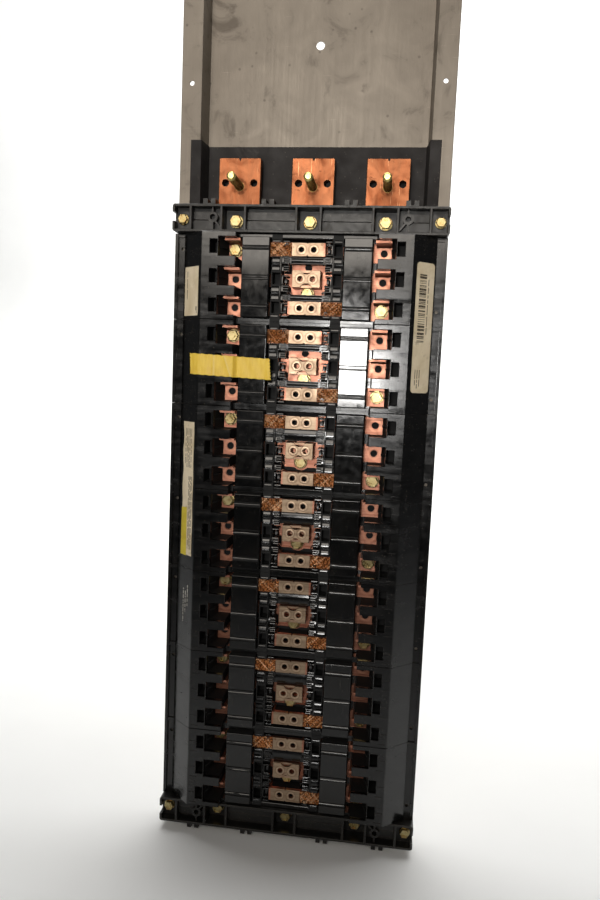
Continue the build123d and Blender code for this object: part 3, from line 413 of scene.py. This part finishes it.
def label_ink():
    f = Finish("label_ink", specular=0.3)
    worn_and_highlight = f.noise(900, 4, 0.7)
    colour = f.blend(f.span(worn_and_highlight, 0.4, 0.72), shade("2a2622"), shade("8a7c68"))
    return f.done(colour, f.span(worn_and_highlight, 0.3, 0.7, 0.5, 0.75), f.bump(worn_and_highlight, 0.01))


def masking_tape():
    f = Finish("tape_paper", specular=0.4)
    crepe = f.noise(1, 4, 0.6, stretch=(420, 420, 60))
    colour = f.blend(f.span(crepe, 0.35, 0.65), shade("e6c043"), shade("f2d05a"))
    colour = f.blend(f.span(f.noise(60, 5, 0.6), 0.5, 0.72, 0.0, 0.5), colour, shade("d1a636"))
    colour = f.blend(f.math("MULTIPLY", f.specks(350, 0.12), 0.5), colour, shade("7d6a2c"))
    crease = f.node("ShaderNodeAttribute", attribute_name="wear_and_highlight").outputs["Fac"]
    # Painted highlight: the tape is paler along its creases.
    colour = f.blend(f.math("MULTIPLY", crease, 0.65), colour, shade("f1dc94"))
    return f.done(colour, f.span(crepe, 0.3, 0.7, 0.42, 0.62), f.bump(crepe, 0.06))


FINISHES = {
    "pan_steel": pan_steel(),
    "tray_sheet": tray_sheet(),
    "bus_copper": bus_copper(),
    "strap_copper": strap_copper(),
    "stud_bronze": stud_bronze(),
    "gloss_cover": gloss_cover(),
    "black_moulding": moulded_black("black_moulding", 0.1, 0.3, 0.22, True),
    "bracket_moulding": bracket_moulding(),
    "support_moulding": support_moulding(),
    "yellow_zinc": yellow_zinc(),
}
BRAID = braid_copper()
CLIP = moulded_black("clip_moulding", 0.08, 0.2, 0.1, False)
PAPER = label_paper("label_paper", "e4d6bb", "cdbc9b")
YELLOW_PAPER = label_paper("label_yellow", "d9c544", "c2ab35")
PRINT = label_paper("label_print", "b9b6ae", "8b877e")
INK = label_ink()
TAPE = masking_tape()


def dress_nodes():
    """Give each CAD node the finish of its material slot."""
    for part in frame["record"]["subparts"]:
        materials = frame["nodes"][part["node"]].data.materials
        materials.clear()
        materials.append(FINISHES[part["material_slot"]])


# ---------------------------------------------------------------- mesh building, in millimetres

class Shape:
    """Collects vertices and faces in millimetres, as (x, z, height), and makes one object of them."""

    def __init__(self):
        self.verts = []
        self.faces = []
        self.marks = []
        self.wear_and_highlight = []

    def add(self, points, faces, mark=0, wear_and_highlight=0.0):
        start = len(self.verts)
        self.verts += [(x * MM, -height * MM, z * MM) for x, z, height in points]
        self.faces += [tuple(start + i for i in face) for face in faces]
        self.marks += [mark] * len(faces)
        self.wear_and_highlight += [wear_and_highlight] * len(points) if isinstance(wear_and_highlight, (int, float)) else list(wear_and_highlight)

    def loops(self, rings, mark=0, closed=True, capped=True, wear_and_highlight=0.0):
        """A skin over rings of points, each ring as long as the others."""
        count = len(rings[0])
        faces = []
        for k in range(len(rings) - 1):
            for i in range(count if closed else count - 1):
                j = (i + 1) % count
                faces.append((k * count + i, k * count + j, (k + 1) * count + j, (k + 1) * count + i))
        if capped:
            faces.append(tuple(range(count))[::-1])
            faces.append(tuple((len(rings) - 1) * count + i for i in range(count)))
        self.add([p for ring in rings for p in ring], faces, mark, wear_and_highlight)

    def prism(self, outline, back, front):
        """An outline of (x, z) points, drawn out from one height to another."""
        self.loops([[(x, z, back) for x, z in outline], [(x, z, front) for x, z in outline]])

    def build(self, name, materials, body=BODY, bevel=0.0, smooth=False):
        mesh = bpy.data.meshes.new(name)
        mesh.from_pydata(self.verts, [], self.faces)
        for material in materials:
            mesh.materials.append(material)
        mesh.polygons.foreach_set("material_index", self.marks)
        mesh.polygons.foreach_set("use_smooth", [smooth] * len(self.faces))
        # A value per point: wear on the stud threads, and a painted highlight along the tape's creases and on
        # some braid strands.
        layer = mesh.attributes.new("wear_and_highlight", "FLOAT", "POINT")
        layer.data.foreach_set("value", self.wear_and_highlight)
        mesh.validate()
        piece = bpy.data.objects.new(name, mesh)
        bpy.context.scene.collection.objects.link(piece)
        recalculate(mesh)
        if bevel:
            edge = piece.modifiers.new("edges", "BEVEL")
            edge.width = bevel * MM
            edge.segments = 2
            edge.limit_method = "ANGLE"
        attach(piece, body)
        return piece


def recalculate(mesh):
    """Turn every face outwards."""
    work = bmesh.new()
    work.from_mesh(mesh)
    bmesh.ops.recalc_face_normals(work, faces=work.faces)
    work.to_mesh(mesh)
    work.free()


def circle(x, z, radius, count, height, turn=0.0):
    steps = [2 * math.pi * i / count + turn for i in range(count)]
    return [(x + radius * math.cos(a), z + radius * math.sin(a), height) for a in steps]


# ---------------------------------------------------------------- line studs

THREAD_PITCH = 1.41
THREAD_DEPTH = 0.72
THREAD_STEPS = 9
THREAD_SIDES = 36
STUD_RADIUS = 3.88
STUD_START = 16.8
HEAD_FRONT = 10.1
SHOULDER_FRONT = 16.2
HEAD_FLATS = 12.7
HEAD_EDGE = 0.6
SHOULDER_RADIUS = 4.28
RELIEF_RADIUS = 3.45
SHOULDER_WEAR = 0.6
TIP_CHAMFER = 1.3
TIP_INSET = 0.4
CREST_SLOPE = 2.6
CREST_OFFSET = 0.8


def thread_ring(x, z, height, tip):
    """One ring of a helical thread, and how near each of its points is to the crest."""
    ring, wear_and_highlight = [], []
    limit = STUD_RADIUS - max(0.0, TIP_CHAMFER - (tip - height))
    start = min(1.0, (height - STUD_START) / THREAD_PITCH)
    for i in range(THREAD_SIDES):
        angle = 2 * math.pi * i / THREAD_SIDES
        phase = (height / THREAD_PITCH + i / THREAD_SIDES) % 1.0
        crest = min(1.0, max(0.0, CREST_SLOPE * (1 - abs(2 * phase - 1)) - CREST_OFFSET))
        radius = min(limit, STUD_RADIUS - THREAD_DEPTH * (1 - crest) * start)
        ring.append((x + radius * math.cos(angle), z + radius * math.sin(angle), height))
        wear_and_highlight.append(crest)
    return ring, wear_and_highlight


def make_thread(phase):
    """A stud with its real thread: hexagonal head, plain shoulder and helix up to a chamfered tip."""
    node = f"line_stud_{phase}"
    low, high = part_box(node)
    tip = -low.y / MM
    head_back = -high.y / MM
    x, z = centre(node).x, centre(node).z
    shape = Shape()
    corner = HEAD_FLATS / math.sqrt(3)
    head = [circle(x, z, corner * scale, 6, height, math.pi / 6)
            for scale, height in ((0.93, head_back), (1.0, head_back + HEAD_EDGE), (1.0, HEAD_FRONT))]
    shape.loops(head)
    rings, wear_and_highlight = [], []
    shoulder = ((SHOULDER_RADIUS, HEAD_FRONT), (SHOULDER_RADIUS, SHOULDER_FRONT),
                (RELIEF_RADIUS, SHOULDER_FRONT + 0.05))
    for radius, height in shoulder:
        rings.append(circle(x, z, radius, THREAD_SIDES, height))
        wear_and_highlight += [SHOULDER_WEAR] * THREAD_SIDES
    steps = int((tip - STUD_START) / THREAD_PITCH * THREAD_STEPS)
    for step in range(steps + 1):
        height = STUD_START + (tip - STUD_START) * step / steps
        ring, worn_and_highlight = thread_ring(x, z, height, tip)
        rings.append(ring)
        wear_and_highlight += worn_and_highlight
    rings.append(circle(x, z, STUD_RADIUS - TIP_CHAMFER - TIP_INSET, THREAD_SIDES, tip))
    wear_and_highlight += [1.0] * THREAD_SIDES
    shape.loops(rings, wear_and_highlight=wear_and_highlight)
    piece = shape.build(f"thread_{phase}", [FINISHES["stud_bronze"]], body=node)
    piece.data.shade_smooth()
    piece.data.set_sharp_from_angle(angle=math.radians(50))
    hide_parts(node)


# ---------------------------------------------------------------- woven copper on the straps

STRAND_GAP = 1.62
STRAND_WIDTH = 0.68
STRAND_THICKNESS = 0.34
STRAND_STEP = 0.6
BRAID_LEVEL = 33.75
BRAID_WAVE = 0.36
BRAID_REACH = 22.0
BRAID_MARGIN = 0.3
BRAID_WANDER = 0.08
STRAND_SIDES = 6


def strand(shape, start, direction, length, parity, rng):
    """One flat strand that passes over and under the strands it crosses."""
    crossing = STRAND_GAP / math.sqrt(2)
    side = (-direction[1], direction[0])
    rings = []
    wander = rng.uniform(-BRAID_WANDER, BRAID_WANDER)
    for k in range(int(length / STRAND_STEP) + 1):
        along = min(length, k * STRAND_STEP)
        lift = BRAID_WAVE * math.cos(math.pi * (along / crossing + parity)) + wander
        x = start[0] + direction[0] * along
        z = start[1] + direction[1] * along
        ring = []
        for i in range(STRAND_SIDES):
            angle = math.pi / 3 * i
            out = STRAND_WIDTH * math.cos(angle)
            up = STRAND_THICKNESS * math.sin(angle)
            ring.append((x + side[0] * out, z + side[1] * out, BRAID_LEVEL + lift + up))
        rings.append(ring)
    if len(rings) > 1:
        # A random value for each strand, which paints a pale highlight on some strands.
        shape.loops(rings, wear_and_highlight=rng.random())


def make_braid(number, phase):
    """Strands laid both ways over the bare stretch of one strap, beside its centre block."""
    outward = -1 if phase == "a" else 1
    z_mid = row_z(number, phase)
    inner = BLOCK_HALF + BRAID_MARGIN
    rng = random.Random(100 * number + PHASES.index(phase))
    shape = Shape()
    half = STRAP_HALF - BRAID_MARGIN
    diagonal = 1 / math.sqrt(2)
    count = int((BRAID_REACH + 2 * half) / STRAND_GAP)
    for slant in (-1, 1):
        for k in range(count):
            offset = (k + 0.5) * STRAND_GAP
            u0 = max(0.0, offset - 2 * half)
            u1 = min(BRAID_REACH, offset)
            z0 = half - (offset - u0)
            length = (u1 - u0) / diagonal
            start = (outward * (inner + u0), z_mid + slant * z0)
            direction = (outward * diagonal, slant * diagonal)
            strand(shape, start, direction, length, k + (slant > 0), rng)
    piece = shape.build(f"braid_{number}{phase}", [BRAID])
    piece.data.shade_smooth()


# ---------------------------------------------------------------- small clips of the centre channel

CLIP_INNER = 15.9
CLIP_OUTER = 22.2
CLIP_BACK = 20.6
CLIP_BASE = 30.2
CLIP_FRONT = 34.0
PRONG = 1.2
PAD_INNER = 24.0
PAD_OUTER = 30.6
PAD_FRONT = 36.2
LEAN = 0.03
MODULE_END = 36.4
BAR_FRONT = 32.0
BAR_HALF_X = 14.2
BAR_OUTER = 18.2
BAR_INNER = 13.9
WIDE_BAR_INNER = 9.0
NARROW_BAR_MODULES = (1, 2)
END_BEAM = 2.0
SMOOTH_ANGLE = 35
E_CLIPS = ((-3.6, 4.9), (4.3, 5.6))
PADS = ((-3.3, 2.2), (3.7, 2.3))
WEB_HALF = 6.0
END_INSET = 3.8
END_LOOP_INSET = 7.0


def hook(shape, side, x0, x1, z0, z1, back, front, rng, drop=0.34, steps=5):
    """A small block whose front falls away towards its upper edge, like the lead-in of a snap hook."""
    slope = rng.uniform(-LEAN, LEAN)
    near, far = sorted((side * x0, side * x1))
    section = [(z0, back)]
    for k in range(steps + 1):
        share = k / steps
        section.append((z0 + (z1 - z0) * share, front - drop * share * share))
    section.append((z1, back))
    rise = slope * (far - near)
    rings = [[(x, z, height + (lift if height > back else 0.0)) for z, height in section]
             for x, lift in ((near, 0.0), (far, rise))]
    shape.loops(rings)


def e_clip(shape, side, z, length, rng):
    """Three prongs on a spine, open towards the middle of the channel."""
    gap = (length - 3 * PRONG) / 2
    spine = CLIP_OUTER - 1.6
    bottom = z - length / 2
    for k in range(3):
        low = bottom + k * (PRONG + gap)
        hook(shape, side, CLIP_INNER, spine + 0.2, low, low + PRONG, CLIP_BASE - 3, CLIP_FRONT, rng)
    hook(shape, side, spine, CLIP_OUTER, bottom, bottom + length, CLIP_BACK, CLIP_FRONT + 0.3, rng, 0.9)


def loop_clip(shape, side, x, z):
    """A small hook: three quarters of a round loop on a stalk."""
    inner, outer, steps = 0.75, 1.6, 12
    turns = [math.radians(-60 + 270 * k / steps) for k in range(steps + 1)]
    outline = [(x + outer * math.cos(a), z + outer * math.sin(a)) for a in turns]
    outline += [(x + inner * math.cos(a), z + inner * math.sin(a)) for a in reversed(turns)]
    shape.prism([(side * u, v) for u, v in outline], CLIP_BASE - 2, CLIP_FRONT + 0.6)


def u_frame(shape, side, z, rng):
    """A small upright frame beside a centre block, open towards it."""
    wall = 1.1
    half = 4.6
    x0, x1 = CLIP_INNER + 0.6, CLIP_OUTER
    front = CLIP_FRONT - 0.4
    hook(shape, side, x0, x1, z - half, z - half + wall, CLIP_BACK, front, rng)
    hook(shape, side, x0, x1, z + half - wall, z + half, CLIP_BACK, front, rng)
    hook(shape, side, x1 - wall, x1, z - half + wall, z + half - wall, CLIP_BACK, front, rng, 0.5)
    hook(shape, side, x0 + 1.0, x1 - 2.4, z - 2.0, z + 2.0, CLIP_BACK, CLIP_BASE + 1, rng, 0.8)


def crowned_bar(shape, x_half, z0, z1, back, front, crown, steps=8):
    """A bar across the channel whose front is gently rounded."""
    section = [(z0, back)]
    for k in range(steps + 1):
        share = k / steps
        section.append((z0 + (z1 - z0) * share, front + crown * math.sin(math.pi * share)))
    section.append((z1, back))
    shape.loops([[(x, z, height) for z, height in section] for x in (-x_half, x_half)])


def make_clips(number):
    """The small snap clips, loops, pads and frames on both sides of a module's centre channel."""
    middle = module_z(number)
    rng = random.Random(40 + number)
    rows = {phase: row_z(number, phase) for phase in PHASES}
    shape = Shape()
    for side in (-1, 1):
        braid_row = rows["a"] if side < 0 else rows["c"]
        for between in (middle + ROW_PITCH / 2, middle - ROW_PITCH / 2):
            for offset, length in E_CLIPS:
                e_clip(shape, side, between + offset, length, rng)
            loop_clip(shape, side, CLIP_INNER - 0.4, between + 0.4)
            for offset, half in PADS:
                low, high = between + offset - half, between + offset + half
                hook(shape, side, PAD_INNER, PAD_OUTER, low, high, RAIL_TOP - 2, PAD_FRONT, rng, 1.0)
            hook(shape, side, CLIP_OUTER + 0.5, PAD_INNER - 0.5, between - WEB_HALF, between + WEB_HALF,
                 RAIL_TOP - 1, RAIL_TOP + 0.6, rng, 0.4)
        for z in rows.values():
            if z != braid_row:
                u_frame(shape, side, z, rng)
        for end in (-1, 1):
            inner = middle + end * (MODULE_END - END_INSET)
            hook(shape, side, PAD_INNER, PAD_OUTER, inner - 1.0, inner + 1.0, RAIL_TOP - 2,
                 PAD_FRONT - 0.4, rng, 0.5)
            hook(shape, side, CLIP_INNER, CLIP_OUTER - 0.6, inner - 0.7, inner + 0.7,
                 CLIP_BASE - 3, CLIP_FRONT, rng)
            loop_clip(shape, side, CLIP_INNER + 2.6, middle + end * (MODULE_END - END_LOOP_INSET))
    piece = shape.build(f"clips_{number}", [CLIP], bevel=0.16)
    piece.data.shade_smooth()
    piece.data.set_sharp_from_angle(angle=math.radians(SMOOTH_ANGLE))


def make_bars(number):
    """Rounded caps on the barrier bars and on the beams at the module's two ends."""
    middle = module_z(number)
    narrow = number in NARROW_BAR_MODULES
    shape = Shape()
    spans = [(middle + (BAR_INNER if narrow else WIDE_BAR_INNER), middle + BAR_OUTER)]
    if narrow:
        spans.append((middle - BAR_OUTER, middle - BAR_INNER))
    for low, high in spans:
        crowned_bar(shape, BAR_HALF_X, low, high, BAR_FRONT - 1, BAR_FRONT + 0.1, 0.8)
    for end in (-1, 1):
        edge = middle + end * MODULE_END
        low, high = sorted((edge, edge - end * END_BEAM))
        crowned_bar(shape, RAIL_HALF, low, high, BAR_FRONT, BAR_FRONT + 1.2, 0.7)
    piece = shape.build(f"bars_{number}", [CLIP])
    piece.data.shade_smooth()
    piece.data.set_sharp_from_angle(angle=math.radians(SMOOTH_ANGLE))


# ---------------------------------------------------------------- rounded lips across the covers

LIP_HALF = 1.0
LIP_MARGIN = 0.5
LIP_CROWN = 0.4
LIP_SINK = 0.3
LIP_COLUMNS = 12
LIP_ARC_STEPS = 8


def make_lips(number):
    """A low rounded lip between the two grooves at each row of both covers, a little uneven."""
    rng = random.Random(60 + number)
    shape = Shape()
    for side in (-1, 1):
        for phase in PHASES:
            z = row_z(number, phase)
            rings = []
            for k in range(LIP_COLUMNS + 1):
                width = COVER_OUTER - COVER_INNER - 2 * LIP_MARGIN
                x = COVER_INNER + LIP_MARGIN + width * k / LIP_COLUMNS
                crown = LIP_CROWN * (1 + rng.uniform(-0.25, 0.25))
                ring = [(side * x, z - LIP_HALF, COVER_FRONT - LIP_SINK)]
                for i in range(LIP_ARC_STEPS + 1):
                    share = i / LIP_ARC_STEPS
                    up = crown * math.sin(math.pi * share)
                    ring.append((side * x, z + LIP_HALF * (2 * share - 1), COVER_FRONT + 0.02 + up))
                ring.append((side * x, z + LIP_HALF, COVER_FRONT - LIP_SINK))
                rings.append(ring)
            shape.loops(rings)
    piece = shape.build(f"lips_{number}", [CLIP])
    piece.data.shade_smooth()
    piece.data.set_sharp_from_angle(angle=math.radians(50))


# ---------------------------------------------------------------- labels on the slanted side walls

LABEL_THICKNESS = 0.16
INK_THICKNESS = 0.04
LABEL_LIFT = 0.1
PRINT_HALF = 0.35
MARK_HALF = 0.6
WALL_RUN = math.dist(WALL_TOP, WALL_FOOT)


def on_wall(side, down, z, lift):
    """A point on a side wall: down from its front edge, at a level, and lifted off it."""
    share = down / WALL_RUN
    run = (WALL_FOOT[0] - WALL_TOP[0], WALL_FOOT[1] - WALL_TOP[1])
    out = (-run[1] / WALL_RUN, run[0] / WALL_RUN)
    x = WALL_TOP[0] + run[0] * share + out[0] * lift
    height = WALL_TOP[1] + run[1] * share + out[1] * lift
    return side * x, z, height


def sheet_on_wall(shape, side, outline, lift, thickness, mark):
    """A thin sheet on a side wall, from an outline of (down, z) points."""
    rings = [[on_wall(side, down, z, level) for down, z in outline] for level in (lift, lift + thickness)]
    shape.loops(rings, mark)


def ink_strip(shape, side, down0, down1, z0, z1, lift, mark):
    """One printed stroke."""
    outline = [(down0, z0), (down1, z0), (down1, z1), (down0, z1)]
    sheet_on_wall(shape, side, outline, lift, INK_THICKNESS, mark)


def rounded(down0, down1, z0, z1, radius, steps=6):
    """The outline of a rectangle with round corners."""
    outline = []
    corners = ((down1 - radius, z0 + radius, -90), (down1 - radius, z1 - radius, 0),
               (down0 + radius, z1 - radius, 90), (down0 + radius, z0 + radius, 180))
    for x, z, first in corners:
        for k in range(steps + 1):
            angle = math.radians(first + 90 * k / steps)
            outline.append((x + radius * math.cos(angle), z + radius * math.sin(angle)))
    return outline


def ruled_lines(shape, side, down0, down1, z0, z1, count, rng):
    """Generic lines of print that run along the wall, of uneven lengths."""
    for k in range(count):
        at = down0 + (down1 - down0) * (k + 0.5) / count
        cursor = z1
        while cursor > z0 + 2:
            end = max(z0, cursor - rng.uniform(2.0, 9.0))
            ink_strip(shape, side, at - PRINT_HALF, at + PRINT_HALF, end, cursor,
                      LABEL_THICKNESS + LABEL_LIFT, 1)
            cursor = end - rng.uniform(0.7, 2.0)


def bars(shape, side, down0, down1, z0, z1, rng):
    """A stack of short bars of uneven widths."""
    cursor = z1
    while cursor > z0:
        width = rng.choice((0.45, 0.8, 1.3, 1.9))
        end = max(z0, cursor - width)
        ink_strip(shape, side, down0, down1, end, cursor, LABEL_THICKNESS + LABEL_LIFT, 1)
        cursor = end - rng.choice((0.5, 0.9, 1.4))


def make_long_label(rng):
    """The tall label on the right wall, across the joint of modules 1 and 2."""
    joint = (module_z(1) + module_z(2)) / 2
    top, low = joint + 54.0, joint - 57.5
    shape = Shape()
    sheet_on_wall(shape, 1, rounded(2.2, 22.4, low, top, 3.0), LABEL_LIFT, LABEL_THICKNESS, 0)
    bars(shape, 1, 6.0, 13.8, top - 68, top - 10, rng)
    ruled_lines(shape, 1, 15.4, 17.0, top - 62, top - 14, 1, rng)
    ruled_lines(shape, 1, 5.0, 12.4, low + 4, low + 20, 3, rng)
    shape.build("label_right_1", [PAPER, INK])


def make_small_label(rng):
    """The short label on the left wall of module 1."""
    top, low = module_z(1) + 8.1, module_z(1) - 35.2
    shape = Shape()
    sheet_on_wall(shape, -1, rounded(0.9, 21.8, low, top, 0.6), LABEL_LIFT, LABEL_THICKNESS, 0)
    ruled_lines(shape, -1, 17.0, 18.4, low + 12, top - 4, 1, rng)
    ruled_lines(shape, -1, 2.2, 4.6, low + 2, low + 8, 2, rng)
    shape.build("label_left_1", [PAPER, INK])


def make_worn_label(rng):
    """The ragged label on the left wall, across modules 3 and 4, with a yellow patch at its foot."""
    joint = (module_z(3) + module_z(4)) / 2
    top, low = joint + 60.0, joint - 64.0
    steps = 24
    outer = []
    for k in range(steps + 1):
        z = low + (top - low) * k / steps
        outer.append((17.6 + 0.5 * math.sin(k * 1.1) + rng.uniform(-0.3, 0.3), z))
    inner = [(1.4 + 0.25 * math.sin(k * 0.8), low + (top - low) * k / steps) for k in range(steps, -1, -1)]
    shape = Shape()
    sheet_on_wall(shape, -1, outer + inner, LABEL_LIFT, LABEL_THICKNESS, 0)
    patch = [(9.6, low - 0.6), (18.6, low - 0.4), (18.2, low + 44), (9.9, low + 45)]
    sheet_on_wall(shape, -1, patch, LABEL_THICKNESS + 0.12, 0.08, 2)
    ruled_lines(shape, -1, 2.6, 8.8, low + 6, top - 50, 4, rng)
    ruled_lines(shape, -1, 4.0, 15.0, top - 42, top - 6, 5, rng)
    shape.build("label_left_3", [PAPER, INK, YELLOW_PAPER])


def make_wall_marks(rng):
    """Broken strokes that say nothing, printed straight on the left wall of module 5."""
    middle = module_z(5)
    shape = Shape()
    for down, z0, z1 in ((6.0, 2, 22), (9.4, -4, 16), (12.6, -14, 18)):
        cursor = middle + z1
        while cursor > middle + z0:
            end = max(middle + z0, cursor - rng.uniform(1.2, 4.5))
            ink_strip(shape, -1, down - MARK_HALF, down + MARK_HALF, end, cursor, 0.06, 0)
            cursor = end - rng.uniform(0.6, 1.3)
    shape.build("print_left_5", [PRINT])


def make_labels():
    rng = random.Random(7)
    make_long_label(rng)
    make_small_label(rng)
    make_worn_label(rng)
    make_wall_marks(rng)


# ---------------------------------------------------------------- strip of yellow masking tape

TAPE_START = -101.5
TAPE_END = -28.8
TAPE_WIDTH = 18.6
TAPE_THICKNESS = 0.14
TAPE_CREASES = ((-78.5, 0.0), (-66.0, -0.35))
TAPE_DROP = 1.6
TAPE_TILT = 2.6
TAPE_GAP = 0.5
TAPE_LIFT = 0.3
TAPE_COLUMNS = 90
TAPE_ROWS = 20
END_CUT = 1.6


def tape_level(x):
    """Height of the surface under the tape at a distance from the middle."""
    away = -x
    if away > PLATFORM_OUTER:
        return PLATFORM_TOP + TAPE_GAP - (away - PLATFORM_OUTER) * 0.5
    if away > PLATFORM_INNER - 1:
        return PLATFORM_TOP + TAPE_GAP * min(1.0, max(0.0, (away - 80) / 4))
    if away > COVER_OUTER:
        share = (away - COVER_OUTER) / (PLATFORM_INNER - 1 - COVER_OUTER)
        return COVER_FRONT + TAPE_GAP + (PLATFORM_TOP - COVER_FRONT - TAPE_GAP) * share * share
    return COVER_FRONT + TAPE_GAP + max(0.0, COVER_INNER - away) * 0.25


def crease(x, share):
    """How far the tape stands up at its creases, and how strongly a highlight is painted along them."""
    lift = worn_and_highlight = 0.0
    for crease_x, lean in TAPE_CREASES:
        gap = abs(x - crease_x - lean * TAPE_WIDTH * share)
        lift += 0.8 * math.exp(-(gap / 0.5) ** 2)
        worn_and_highlight = max(worn_and_highlight, math.exp(-(gap / 0.6) ** 2))
    return lift, worn_and_highlight


def make_tape():
    """A strip of tape over a platform and a cover, creased twice, with lifted edges and torn ends."""
    middle = module_z(2) - TAPE_DROP
    rng = random.Random(21)
    rings, wear_and_highlight = [], []
    for k in range(TAPE_COLUMNS + 1):
        x = TAPE_START + (TAPE_END - TAPE_START) * k / TAPE_COLUMNS
        ring = []
        tilt = TAPE_TILT * (x - TAPE_START) / (TAPE_END - TAPE_START)
        torn = k in (0, TAPE_COLUMNS)
        for i in range(TAPE_ROWS + 1):
            share = i / TAPE_ROWS - 0.5
            z = middle - tilt + TAPE_WIDTH * share * (1 - 0.02 * math.sin(k * 0.7))
            ripple = 0.12 * math.sin(x * 0.55 + share * 5) + rng.uniform(-0.015, 0.015)
            # The second value paints a highlight along the creases.
            stand, worn_and_highlight = crease(x, share)
            curl = 1.5 * max(0.0, abs(share) - 0.4)
            tear = (0.5 - share) * END_CUT + 0.5 * math.sin(i * 2.1) if torn else 0.0
            ring.append((x + tear, z, tape_level(x) + TAPE_LIFT + ripple + stand + curl))
            wear_and_highlight.append(worn_and_highlight)
        rings.append(ring)
    shape = Shape()
    shape.loops(rings, closed=False, capped=False, wear_and_highlight=wear_and_highlight)
    piece = shape.build("masking_tape", [TAPE], smooth=True)
    skin = piece.modifiers.new("thickness", "SOLIDIFY")
    skin.thickness = TAPE_THICKNESS * MM
    skin.offset = 0.0


# ---------------------------------------------------------------- camera, floor and light

CAMERA_AT = Vector((0.0815, -0.6725, 0.0339))
CAMERA_TURN = (83.956, -2.361, 7.470)
LENS_MM = 28.65
SENSOR_MM = 36.0
FLOOR_GAP = 0.002
STAGE_REACH = 4.0
STAGE_BACK = 2.2
STAGE_TOP = 3.2
STAGE_BEND = 0.8
STAGE_BEND_STEPS = 12


def make_camera():
    data = bpy.data.cameras.new("camera")
    data.sensor_width = SENSOR_MM
    data.lens = LENS_MM
    camera = bpy.data.objects.new("camera", data)
    camera.location = CAMERA_AT
    camera.rotation_euler = [math.radians(a) for a in CAMERA_TURN]
    bpy.context.scene.collection.objects.link(camera)
    bpy.context.scene.camera = camera


def make_light(name, at, aim, size, power, spread, colour):
    """A rectangular light, aimed at a point; its beam is as wide as spread, in degrees."""
    data = bpy.data.lights.new(name, "AREA")
    data.shape = "RECTANGLE"
    data.size, data.size_y = size
    data.energy = power
    data.color = colour
    data.spread = math.radians(spread)
    light = bpy.data.objects.new(name, data)
    light.location = at
    light.rotation_euler = (Vector(aim) - Vector(at)).to_track_quat("-Z", "Y").to_euler()
    bpy.context.scene.collection.objects.link(light)


def backdrop_paper():
    """Pale paper with painted shade: it turns grey in front of the object and far out to its sides."""
    f = Finish("backdrop_paper", specular=0.1)
    colour = f.blend(f.span(f.noise(3, 4), 0.3, 0.7), shade("f7f7f5"), shade("f1f1ef"))
    # Painted shade: the paper is greyed in front of the object and far out to its sides.
    behind = f.math("MAXIMUM", f.math("MULTIPLY", f.y, 0.75), 0.0)
    beside = f.span(f.math("SUBTRACT", f.math("ABSOLUTE", f.x), behind), 0.42, 1.3)
    before = f.span(f.y, -0.14, -0.8)
    colour = f.blend(f.math("MAXIMUM", beside, before), colour, shade("8f9091"))
    return f.done(colour, 0.9)


def make_stage():
    """A sheet of paper, in metres: a floor, a round bend and an upright back."""
    floor_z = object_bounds()[0][2] - FLOOR_GAP
    profile = [(-STAGE_REACH, 0.0), (STAGE_BACK - STAGE_BEND, 0.0)]
    for step in range(1, STAGE_BEND_STEPS + 1):
        angle = math.pi / 2 * step / STAGE_BEND_STEPS
        y = STAGE_BACK - STAGE_BEND + STAGE_BEND * math.sin(angle)
        profile.append((y, STAGE_BEND * (1 - math.cos(angle))))
    profile.append((STAGE_BACK, STAGE_TOP))
    mesh = bpy.data.meshes.new("backdrop")
    verts = [(x, y, floor_z + z) for y, z in profile for x in (-STAGE_REACH, STAGE_REACH)]
    faces = [(2 * i, 2 * i + 1, 2 * i + 3, 2 * i + 2) for i in range(len(profile) - 1)]
    mesh.from_pydata(verts, [], faces)
    mesh.polygons.foreach_set("use_smooth", [True] * len(mesh.polygons))
    backdrop = bpy.data.objects.new("backdrop", mesh)
    bpy.context.scene.collection.objects.link(backdrop)
    mesh.materials.append(backdrop_paper())


def light_scene():
    """A small hard light by the camera, a soft warm one above it, and a wash on the backdrop."""
    world = bpy.data.worlds.new("studio")
    world.use_nodes = True
    world.node_tree.nodes["Background"].inputs["Color"].default_value = (0.95, 0.97, 1.0, 1)
    world.node_tree.nodes["Background"].inputs["Strength"].default_value = 0.09
    bpy.context.scene.world = world
    make_light("key", (-0.045, -1.5, 0.07), (0.0, 0, 0.2), (0.17, 0.2), 0.66, 52, (1.0, 0.98, 0.95))
    make_light("warm_soft", (-0.15, -1.4, 0.68), (0, 0, 0.25), (0.8, 0.7), 1.6, 68, (1.0, 0.92, 0.82))
    make_light("backdrop_wash", (0, 0.7, 2.6), (0, 1.9, 0.3), (3.2, 1.2), 78, 116, (1, 1, 1))
    bpy.context.scene.view_settings.view_transform = "Standard"


dress_nodes()
for letter in PHASES:
    make_thread(letter)
for module in MODULES:
    make_clips(module)
    make_bars(module)
    make_lips(module)
    for letter in ("a", "c"):
        make_braid(module, letter)
make_labels()
make_tape()
make_camera()
make_stage()
light_scene()
